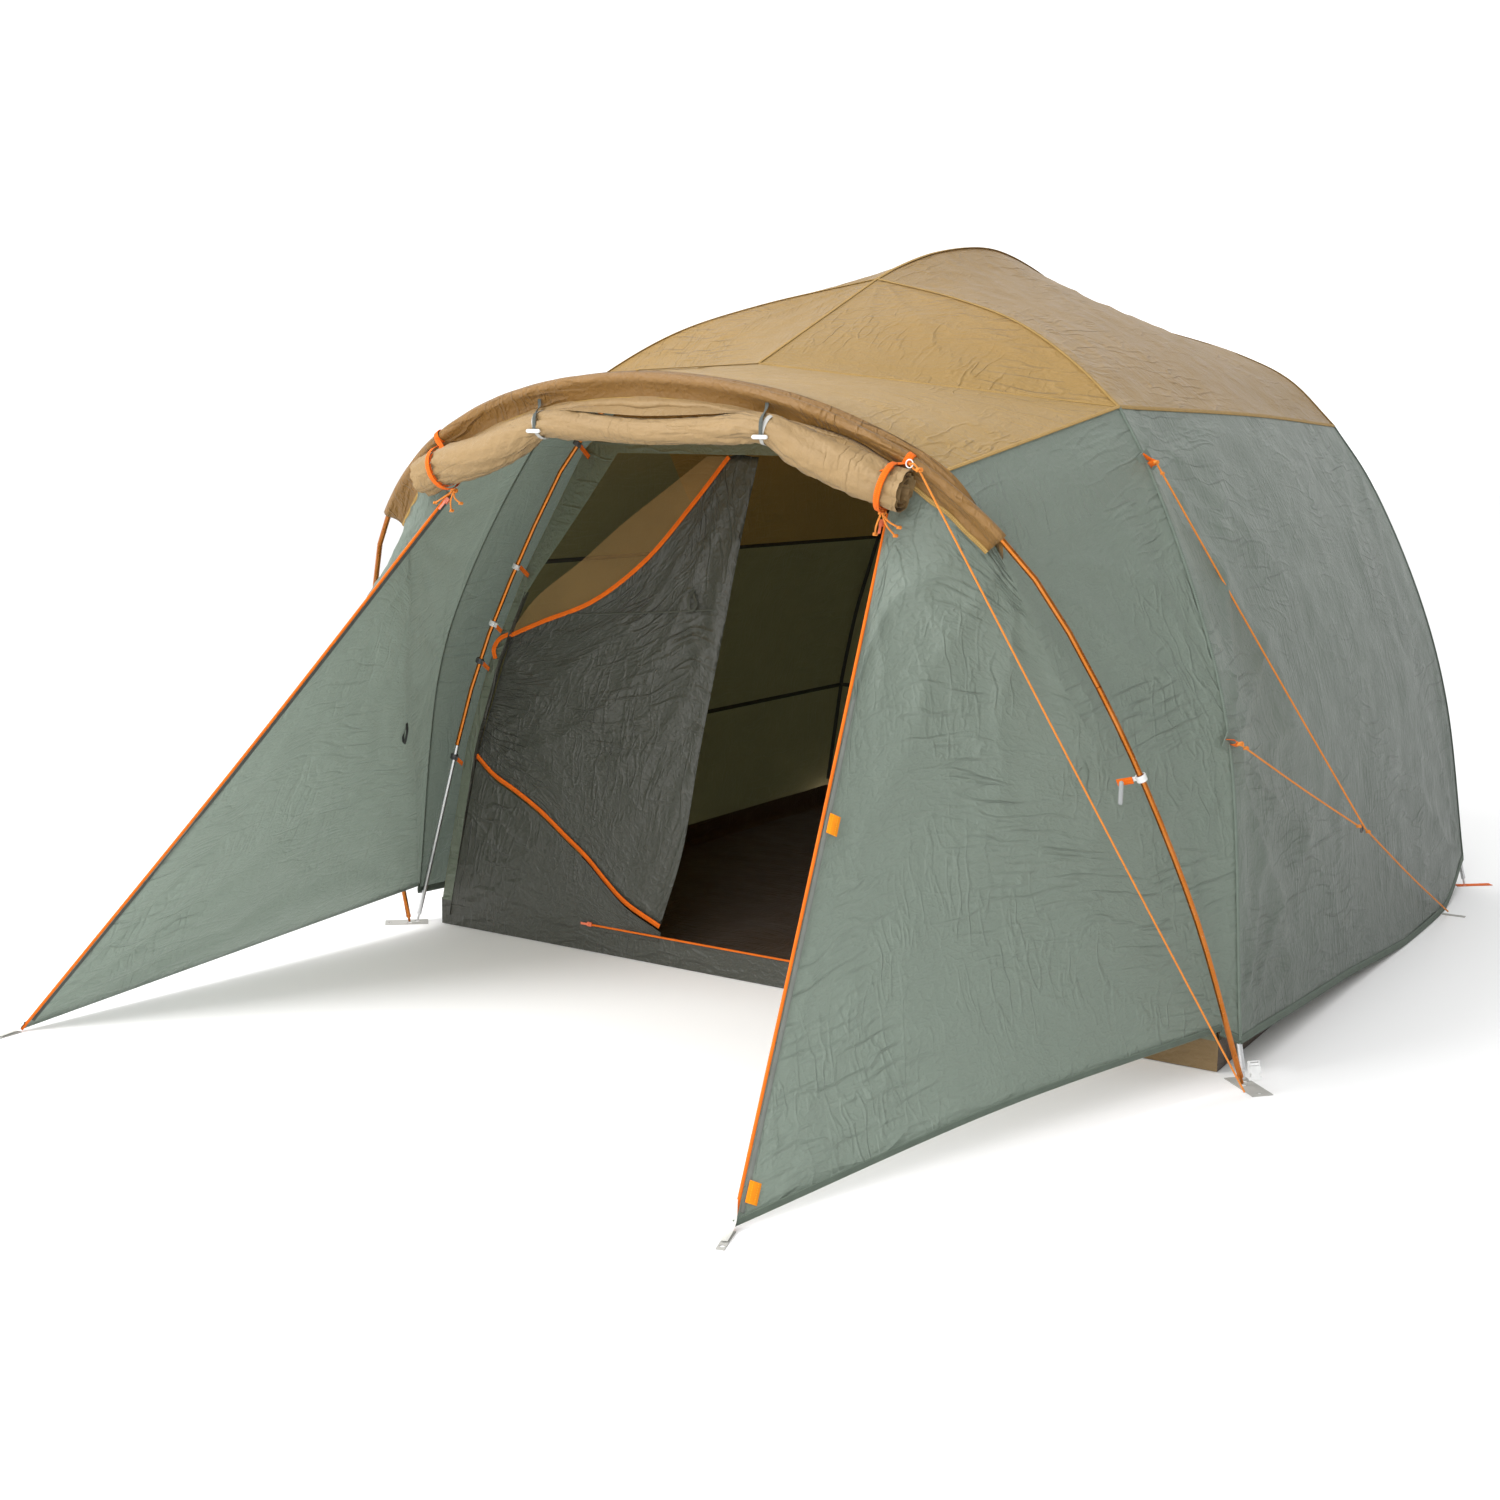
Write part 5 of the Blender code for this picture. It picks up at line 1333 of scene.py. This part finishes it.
def build_inner_roof():
    """The canopy's top, which closes onto the line of the ridge pole."""
    base_z = EAVE_Z + 0.004
    limit = HUB_Z - 0.035
    columns = round(1.6 / CANOPY_CELL)
    rises = np.linspace(0.0, 1.0, 26)
    rows = []
    for rise in rises:
        z = base_z + (limit - base_z) * rise
        x, y = inner_level(z)
        if rise == 1.0:
            x, y = 0.0, HUB_Y
        turn = [(-x, -y), (-x, y), (x, y), (x, -y), (-x, -y)]
        row = []
        for leg, ((x0, y0), (x1, y1)) in enumerate(zip(turn, turn[1:])):
            for i in range(columns):
                px = x0 + (x1 - x0) * i / columns
                py = y0 + (y1 - y0) * i / columns
                crown = (RIDGE_TOP - HUB_Z) * rise * rise if leg in (0, 2) else 0.0
                row.append(point(px, py, z + crown * (1 - (py / y) ** 2)))
        rows.append(row + [row[0].copy()])
    grid = np.array(rows)
    cloth("canopy_top", [grid], "tan_shade", (0, 0, 1), replaces=["inner_canopy_roof"])


def build_door():
    """The half-open door: a crumpled leaf, and a strip of netting above its taped edge."""
    hem, fold = door_path(DOOR_HEM), door_path(DOOR_FOLD)
    hinge = door_path([DOOR_HINGE_LOW, MESH_HEM[0]])
    top = door_path(MESH_HEM + [DOOR_FOLD[-1]])
    grid = patch(hem, top, hinge, fold, across=60, up=60)
    pulls = [(hinge.at(1.0), 0.4, 0.005, 19), (fold.at(1.0), 0.4, 0.006, 17),
             (fold.at(0.45), 0.3, 0.005, 13), (hinge.at(0.0), 0.35, 0.004, 15)]
    grid = rumpled(grid, 101.0, 0.0035, pulls, hold=0.05, free="r", stretch=(1.4, 0.6))
    cloth("door_leaf_panel", [grid], "door", (0, -1, 0), body="door_leaf",
          replaces=["inner_door"],
          thick=CLOTH)
    lower, upper = door_path(MESH_HEM), door_path(MESH_EDGE)
    grid = patch(lower, upper, *ends_between(lower, upper), across=44, up=10)
    cloth("door_netting", [grid], "mesh", (0, -1, 0), body="door_leaf",
          replaces=["inner_door_mesh"])
    low = 0.012
    panel_hem = door_path([(u + 0.01, z - low) for u, z in DOOR_HEM], 0.0)
    foot = FLOOR_WALL - 0.012
    sill = door_path([(DOOR_HEM[0][0], foot), (DOOR_HEM[-1][0] + 0.01, foot)], -0.0015)
    grid = patch(sill, panel_hem, *ends_between(sill, panel_hem), across=40, up=20)
    grid = rumpled(grid, 111.0, 0.003, hold=0.04)
    cloth("door_lower_panel", [grid], "door", (0, -1, 0),
          replaces=["inner_front_lower_panel"])


def build_floor_tub():
    """The floor: a flat sheet with low upright sides, rumpled inside."""
    half_x, half_y = inner_level(FLOOR_WALL)
    cells = round(2 * half_x / (CELL * 1.4))
    xs = np.linspace(-half_x, half_x, cells + 1)
    ys = np.linspace(-half_y, half_y, cells + 1)
    base = np.array([[point(x, y, FLOOR_LIFT) for x in xs] for y in ys])
    flat = flat_places(base)
    heights = np.clip(crumple_heights(flat, 121.0), 0.0, 1.0) * edge_fade(flat, 0.05) * 0.006
    base = base + UP * heights[..., None]
    sides = []
    corners = [point(x * half_x, y * half_y, FLOOR_LIFT)
               for x, y in ((-1, -1), (1, -1), (1, 1), (-1, 1))]
    rise = UP * (FLOOR_WALL - FLOOR_LIFT)
    for a, b in list(zip(corners, corners[1:] + corners[:1]))[::-1]:
        low, high = Path([a, b]), Path([a + rise, b + rise])
        sides.append(patch(low, high, *ends_between(low, high), across=cells, up=4))
    olive = round(cells * 0.13)
    front, corner = sides[-1][:, :-olive], sides[-1][:, -olive - 1:]
    cloth("floor_tub", [base] + sides[:-1], "floor", (0, 0, -1), replaces=["tent_floor"])
    for name, grid, skin in (("floor_tub_front", front, "door"),
                             ("floor_tub_corner", corner, "olive")):
        cloth(name, [grid], skin, (0, -1, 0))
    jamb = [front_point(-DOOR_JAMB, h, 0.006) for h in np.linspace(0.03, 0.95, 40)]
    group("jamb_flange", [ribbon(jamb, (1, 0, 0), 0.018)], "door")


build_inner_walls()
build_inner_front()
build_inner_roof()
build_door()
build_floor_tub()


# ---------------------------------------------------------------- seams, hems, zips and tapes

def hoop(centre, axis, radius, width, thick=0.0016):
    """A band of tape or a moulded ring round an axis."""
    axis = unit(axis)
    start = unit(np.cross(axis, (0.3, 0.2, 0.93)))
    other = np.cross(axis, start)
    spokes = [start * math.cos(a) + other * math.sin(a) for a in np.linspace(0.0, 2 * math.pi, 25)]
    return ribbon([centre + spoke * radius for spoke in spokes], np.array(spokes), width, thick)


def draped_cord(knots):
    return tube(Path(knots).spaced(14), 0.002, 7)


def draped_tape(knots, facing, width):
    return ribbon(Path(knots).spaced(14), facing, width)


def seam_strip(path, facing, width=0.009, thick=0.0022, lift=0.0012):
    points = path.spaced(max(4, round(path.length / 0.03)))
    points[:, 2] = np.maximum(points[:, 2], width / 2 + 0.001)
    facing = np.broadcast_to(np.asarray(facing, float), points.shape)
    along = units(np.gradient(points, axis=0))
    away = units(facing - along * (facing * along).sum(axis=1, keepdims=True))
    return ribbon(points + away * lift, facing, width, thick)


def build_seams():
    tan, sage = [], []
    for side in (RIGHT, LEFT):
        for end in (FRONT, REAR):
            out = unit((side * 0.94, end * 0.35, 0.25))
            sage.append(seam_strip(seam_low(side, end), out, 0.011))
            tan.append(seam_strip(seam_high(side, end), (side * 0.3, end * 0.25, 0.9), 0.011))
        tan.append(seam_strip(eave_path(side), unit((side, 0, 0.7)), 0.011))
    tan.append(seam_strip(ridge_path(), UP, 0.012))
    apex = seam_high(RIGHT, FRONT).at(1.0) * (0, 1, 1)
    tan.append(seam_strip(Path([BROW, apex]), (0, -0.4, 1), 0.008))
    tan.append(seam_strip(Path([BROW, CREST]), (0, -0.3, 1), 0.008))
    for side in (RIGHT, LEFT):
        corner = shoulder_point(side, FRONT)
        tan.append(seam_strip(Path([BROW, corner]), (0, -0.4, 1), 0.009))
        shoulder = sleeve_spot(side * SLEEVE_SHOULDER[0], SLEEVE_SHOULDER[1])
        tan.append(seam_strip(Path([shoulder, corner]), (side * 0.5, -0.2, 0.9), 0.01))
    group("roof_seams", tan, "tan_seam")
    group("wall_seams", sage, "sage_seam")


def build_hems():
    hems = []
    for side in (RIGHT, LEFT):
        hems.append(seam_strip(side_hem_path(side), (side, 0, 0.15), 0.02, 0.0026))
        foot = wing_edge(side)[0][0]
        hems.append(seam_strip(Path([foot, hem_point(side, FRONT)]), (side, -0.3, 0), 0.02, 0.0026))
    for word, (side, _, _, _, _) in WINGS.items():
        hem = wing_hem(word)
        raised = Path([p + UP * 0.008 for p in hem.spaced(30)], 1)
        hems.append(seam_strip(raised, (side * 0.8, -0.6, 0), 0.014, 0.0026))
    hems.append(seam_strip(REAR_HEM, (0, 1, 0.1), 0.02, 0.0026))
    group("fly_hems", hems, "hem")


def build_zip_edges():
    """Orange piping on both wings' zip edges, and the zip tapes beside it."""
    piping, tapes, dark = [], [], []
    for word, (side, _, _, _, _) in WINGS.items():
        edge, inward, away = zip_frame(word)
        piping.append(tube(edge.spaced(60), 0.0036, 8))
        strip = edge.cut(0.03, edge.length, 60) + inward * 0.012
        (tapes if side == RIGHT else dark).append(ribbon(strip, away, 0.011, 0.003))
    group("wing_piping", piping, "piping")
    group("zip_tape_right", tapes, "lilac_tape")
    group("zip_tape_left", dark, "dark_tape")


def build_wing_tabs():
    """Two yellow tabs on the right zip edge."""
    edge, inward, away = zip_frame("right")
    if away[0] < 0:
        away = -away
    tabs = []
    for share in (0.535, 0.047):
        centre = edge.at(share) + inward * 0.024 + away * 0.004
        tabs.append(plate(centre, edge.heading(share), away, 0.04, 0.026, 0.003))
    group("wing_tabs", tabs, "amber_tab")
    tails = []
    for word, hole in (("right", (0.72, -2.475, 0.0)), ("left", (-1.264, -2.45, 0.0))):
        tip = zip_path(word).at(0.0)
        hole = np.array(hole)
        tails.append(ribbon(Path([tip + UP * 0.05 + (hole - tip) * -0.1, tip + UP * 0.012,
                                  hole + UP * 0.0035]).cut(0.0, 0.1, 8), (0, -0.2, 1), 0.014, 0.0016))
    group("wing_tails", tails, "pale_web")


def build_door_tapes():
    hem = door_path(DOOR_HEM, DOOR_BACK - 0.003)
    points = hem.spaced(50)
    curve = door_path(MESH_HEM, DOOR_BACK - 0.003)
    mesh_points = curve.spaced(50)
    tail = [front_point(u, z, y) for u, z, y in ((-0.965, 0.835, 0.004), (-0.985, 0.82, -0.01),
                                                 (-0.99, 0.79, -0.012), (-0.975, 0.765, -0.008))]
    group("door_tapes", [ribbon(points, (0, -1, 0), 0.014, 0.0018),
                         ribbon(mesh_points, (0, -1, 0), 0.012, 0.0018),
                         draped_tape(tail, (0.3, -1, 0), 0.012)],
          "orange_tape", body="door_leaf")
    seam = door_path([(-0.81, 0.896), (-0.54, 0.915), (-0.285, 0.938)], DOOR_BACK - 0.002)
    hung = [front_point(u, z, DOOR_BACK + y) for u, z, y in
            ((-0.374, 0.985, -0.002), (-0.38, 0.965, -0.014), (-0.366, 0.93, -0.012),
             (-0.352, 0.945, -0.01), (-0.374, 0.975, -0.004))]
    group("door_seam", [seam_strip(seam, (0, -1, 0), 0.005, 0.0012, 0.0006),
                        draped_tape(hung, (0.2, -1, 0), 0.008)],
          "door_seam", body="door_leaf")
    sill = Path([front_point(-0.55, SILL_Z - 0.006, -0.004), front_point(0.96, SILL_Z - 0.006, -0.004)])
    group("sill_piping", [tube(sill.spaced(40), 0.0028, 8)], "piping")


def build_canopy_seams():
    """The dark tapes round the canopy's walls and down its rear corners, seen through the door."""
    inside = 0.008
    strips = []
    for z, width in ((TAN_LEVEL, 0.012), (0.47, 0.014)):
        x, y = inner_level(z)
        x, y = x - inside, y - inside
        ring = [point(-x, -y, z), point(-x, y, z), point(x, y, z), point(x, -y, z)]
        strips += [ribbon([a + (b - a) * i / 12 for i in range(13)], (a + b) * (-1, -1, 0), width)
                   for a, b in zip(ring, ring[1:])]
    for side in (RIGHT, LEFT):
        corner = []
        for z in np.linspace(0.1, EAVE_Z, 24):
            x, y = inner_level(z)
            corner.append(point(side * (x - inside), y - inside, z))
        strips.append(ribbon(corner, (-side, -1, 0), 0.014))
    group("canopy_seams", strips, "door_seam")


def build_roll_ties():
    """What ties the rolled door: end bands with knotted tails, sleeve loops, and middle straps."""
    tape, cord, straps, rings = [], [], [], []
    tails = {
        -0.547: ((-0.528, 1.364), [(-0.6, 1.33), (-0.549, 1.315), (-0.507, 1.338)]),
        0.6: ((0.583, 1.348), [(0.556, 1.297), (0.606, 1.299), (0.622, 1.321)]),
    }
    for band, (knot_at, ends) in tails.items():
        start = arch_point(*knot_at, 0.055)
        cord.append(knot(start, 0.016, 0.0024))
        for number, (x, h) in enumerate(ends):
            finish = arch_point(x, h, 0.05 + 0.008 * number)
            middle = (start + finish) / 2 + FORWARD * 0.008
            cord.append(draped_cord([start, middle, finish]))
            cord.append(knot(finish, 0.009, 0.0019))
        side = math.copysign(1.0, band)
        share = arch_share(0.634 if side > 0 else -0.571)
        centre = ARCH.at(share)
        tape.append(hoop(centre, ARCH.heading(share), 0.0142, 0.016, 0.002))
        roll = roll_path().at(roll_share(band))
        tape.append(draped_tape([centre + FORWARD * 0.015, roll + OVER * 0.043 - FORWARD * 0.008,
                                 roll + OVER * 0.04 + FORWARD * 0.014], OVER, 0.012))
        tape.append(hoop(roll, roll_path().heading(roll_share(band)), roll_width(band) + 0.0045, 0.013))
    head = arch_point(*ARCH_GUY_HEAD)
    ring = arch_point(0.646, 1.44, 0.026)
    rings.append(hoop(ring, unit(np.cross(head - ring, UP)), 0.008, 0.003, 0.0024))
    for way in (-1, 1):
        cord.append(draped_cord([ring, (ring + head) / 2 + OVER * 0.006 * way, head]))
    cord.append(knot(head, 0.013, 0.0024))
    for x, lean in zip(ROLL_LOOPS, (-0.034, -0.021)):
        roll = roll_path().at(roll_share(x))
        knots = [arch_point(x + lean, 1.575, -0.008), arch_point(x + lean * 0.7, 1.552, 0.012),
                 roll + OVER * 0.03 + FORWARD * 0.02, roll + FORWARD * 0.0335]
        straps.append(draped_tape(knots, FORWARD + OVER * 0.5, 0.009))
    group("roll_tapes", tape, "orange_tape")
    group("roll_tie_cords", cord, "cord")
    group("roll_straps", straps, "dark_tape")
    group("arch_guy_ring", rings, "pale")


def build_clips():
    """The canopy's clips on the front left leg, and the tabs that they are sewn to."""
    leg = leg_path(LEFT, FRONT)
    black, pale, tabs = [], [], []
    for share, rings, reach in ((0.61, black, 0.05), (0.4525, None, 0.045), (0.3775, pale, 0.03),
                                (0.33, black, 0.035), (0.21, black, 0.03)):
        place, along = leg.at(share), leg.heading(share)
        across = unit(np.cross(along, (0.3, 0.95, 0.0)))
        if across[0] < 0:
            across = -across
        if rings is not None:
            rings.append(hoop(place, along, 0.0095, 0.015, 0.0032))
            rings.append(block(place + across * 0.015, along, (0, -1, 0), 0.012, 0.012, 0.005))
        centre = place + across * (0.014 + reach / 2) - UP * 0.004
        tabs.append(plate(centre, across - UP * 0.15, (0, -1, 0), reach, 0.013, 0.002))
    share = 1 - CLIP_AT / ARCH.length
    inward = unit(np.cross(ARCH.heading(share), FORWARD))
    if inward[0] > 0:
        inward = -inward
    centre = ARCH.at(share) + inward * 0.036 + FORWARD * 0.004
    tabs.append(plate(centre, inward, (0.6, -0.8, 0.0), 0.036, 0.015, 0.002))
    group("leg_clips_black", black, "black")
    group("leg_clips_pale", pale, "pale")
    group("clip_tabs", tabs, "orange_tape")


def build_guy_outs():
    """Sewn webbing loops with stitched patches where the side lines start, and their knots."""
    tape, cord, patches = [], [], []
    ring = np.array(GUY_RING)
    for spot, size in ((GUY_OUT_HIGH, 0.011), (GUY_OUT_LOW, 0.015)):
        seam = seam_point(RIGHT, FRONT, *spot, proud=0.001)
        head = seam_point(RIGHT, FRONT, *spot, proud=GUY_OUT_PROUD)
        aim = unit(ring - head)
        out = unit(head - seam)
        tape.append(draped_tape([seam - aim * 0.02, seam + out * 0.012 + UP * size * 0.4, head],
                                np.cross(aim, out), 0.014))
        tape.append(draped_tape([seam + aim * 0.012, seam + out * 0.012 - UP * size * 0.4, head],
                                np.cross(aim, out), 0.014))
        cord += [knot(head, size, 0.0024), knot(head + aim * 0.03, size * 0.7, 0.0022)]
        patches.append(plate(seam + out * 0.001, aim, out, 0.05, 0.036, 0.002))
    aim = unit(seam_point(RIGHT, FRONT, *GUY_OUT_LOW) - ring)
    beside = ring + np.array((0.007, 0.03, -0.012))
    cord += [knot(ring + aim * 0.02, 0.011, 0.0022), knot(beside, 0.01, 0.0022)]
    group("guy_out_loops", tape, "orange_tape")
    group("guy_knots", cord, "cord")
    group("guy_out_patches", patches, "sage_seam")


def build_left_loop():
    """A small dark tie at the crease of the left wing."""
    edge = wing_edge(LEFT)[1]
    place = edge.at(0.42) + np.array((0.012, -0.03, 0.0))
    knots = [place, place + (0.012, -0.012, -0.02), place + (0.004, -0.016, -0.055),
             place + (-0.004, -0.01, -0.03), place]
    group("wing_tie_left", [draped_tape(knots, (1, -0.4, 0), 0.007)], "dark_web")


build_seams()
build_hems()
build_zip_edges()
build_wing_tabs()
build_door_tapes()
build_canopy_seams()
build_roll_ties()
build_clips()
build_guy_outs()
build_left_loop()


# ---------------------------------------------------------------- finishes of the CAD pieces

CORNERS = ("front_right", "front_left", "rear_right", "rear_left")
DRESSED = {
    "silver_tube": [f"leg_lower_{c}" for c in CORNERS],
    "orange_tube": [f"leg_upper_{c}" for c in CORNERS]
                   + ["ridge_pole", "arch_pole_left", "arch_pole_middle", "arch_pole_right"],
    "black": ["hub_front", "hub_rear", "guy_ring"],
    "pale": ["buckle_body", "buckle_insert", "roll_toggle_left", "roll_toggle_right", "arch_clip",
             "leg_clip_front_left"],
    "mid_grey": ["clip_toggle"],
    "grey_web": [f"corner_strap_{c}" for c in CORNERS[:2]] + ["roll_loop_left", "roll_loop_right"]
                + [f"stake_loop_{n}"
                   for n in ("flap_right", "flap_left", "side_right", "side_left", "rear")],
    "orange_tape": ["roll_band_left", "roll_band_right"] + [f"corner_strap_{c}" for c in CORNERS[2:]],
    "orange_plastic": ["flap_slider_right", "flap_slider_left", "sill_slider"],
}
for skin, names in DRESSED.items():
    for name in names:
        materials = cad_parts[name].data.materials
        materials.clear()
        materials.append(SKIN[skin][0])
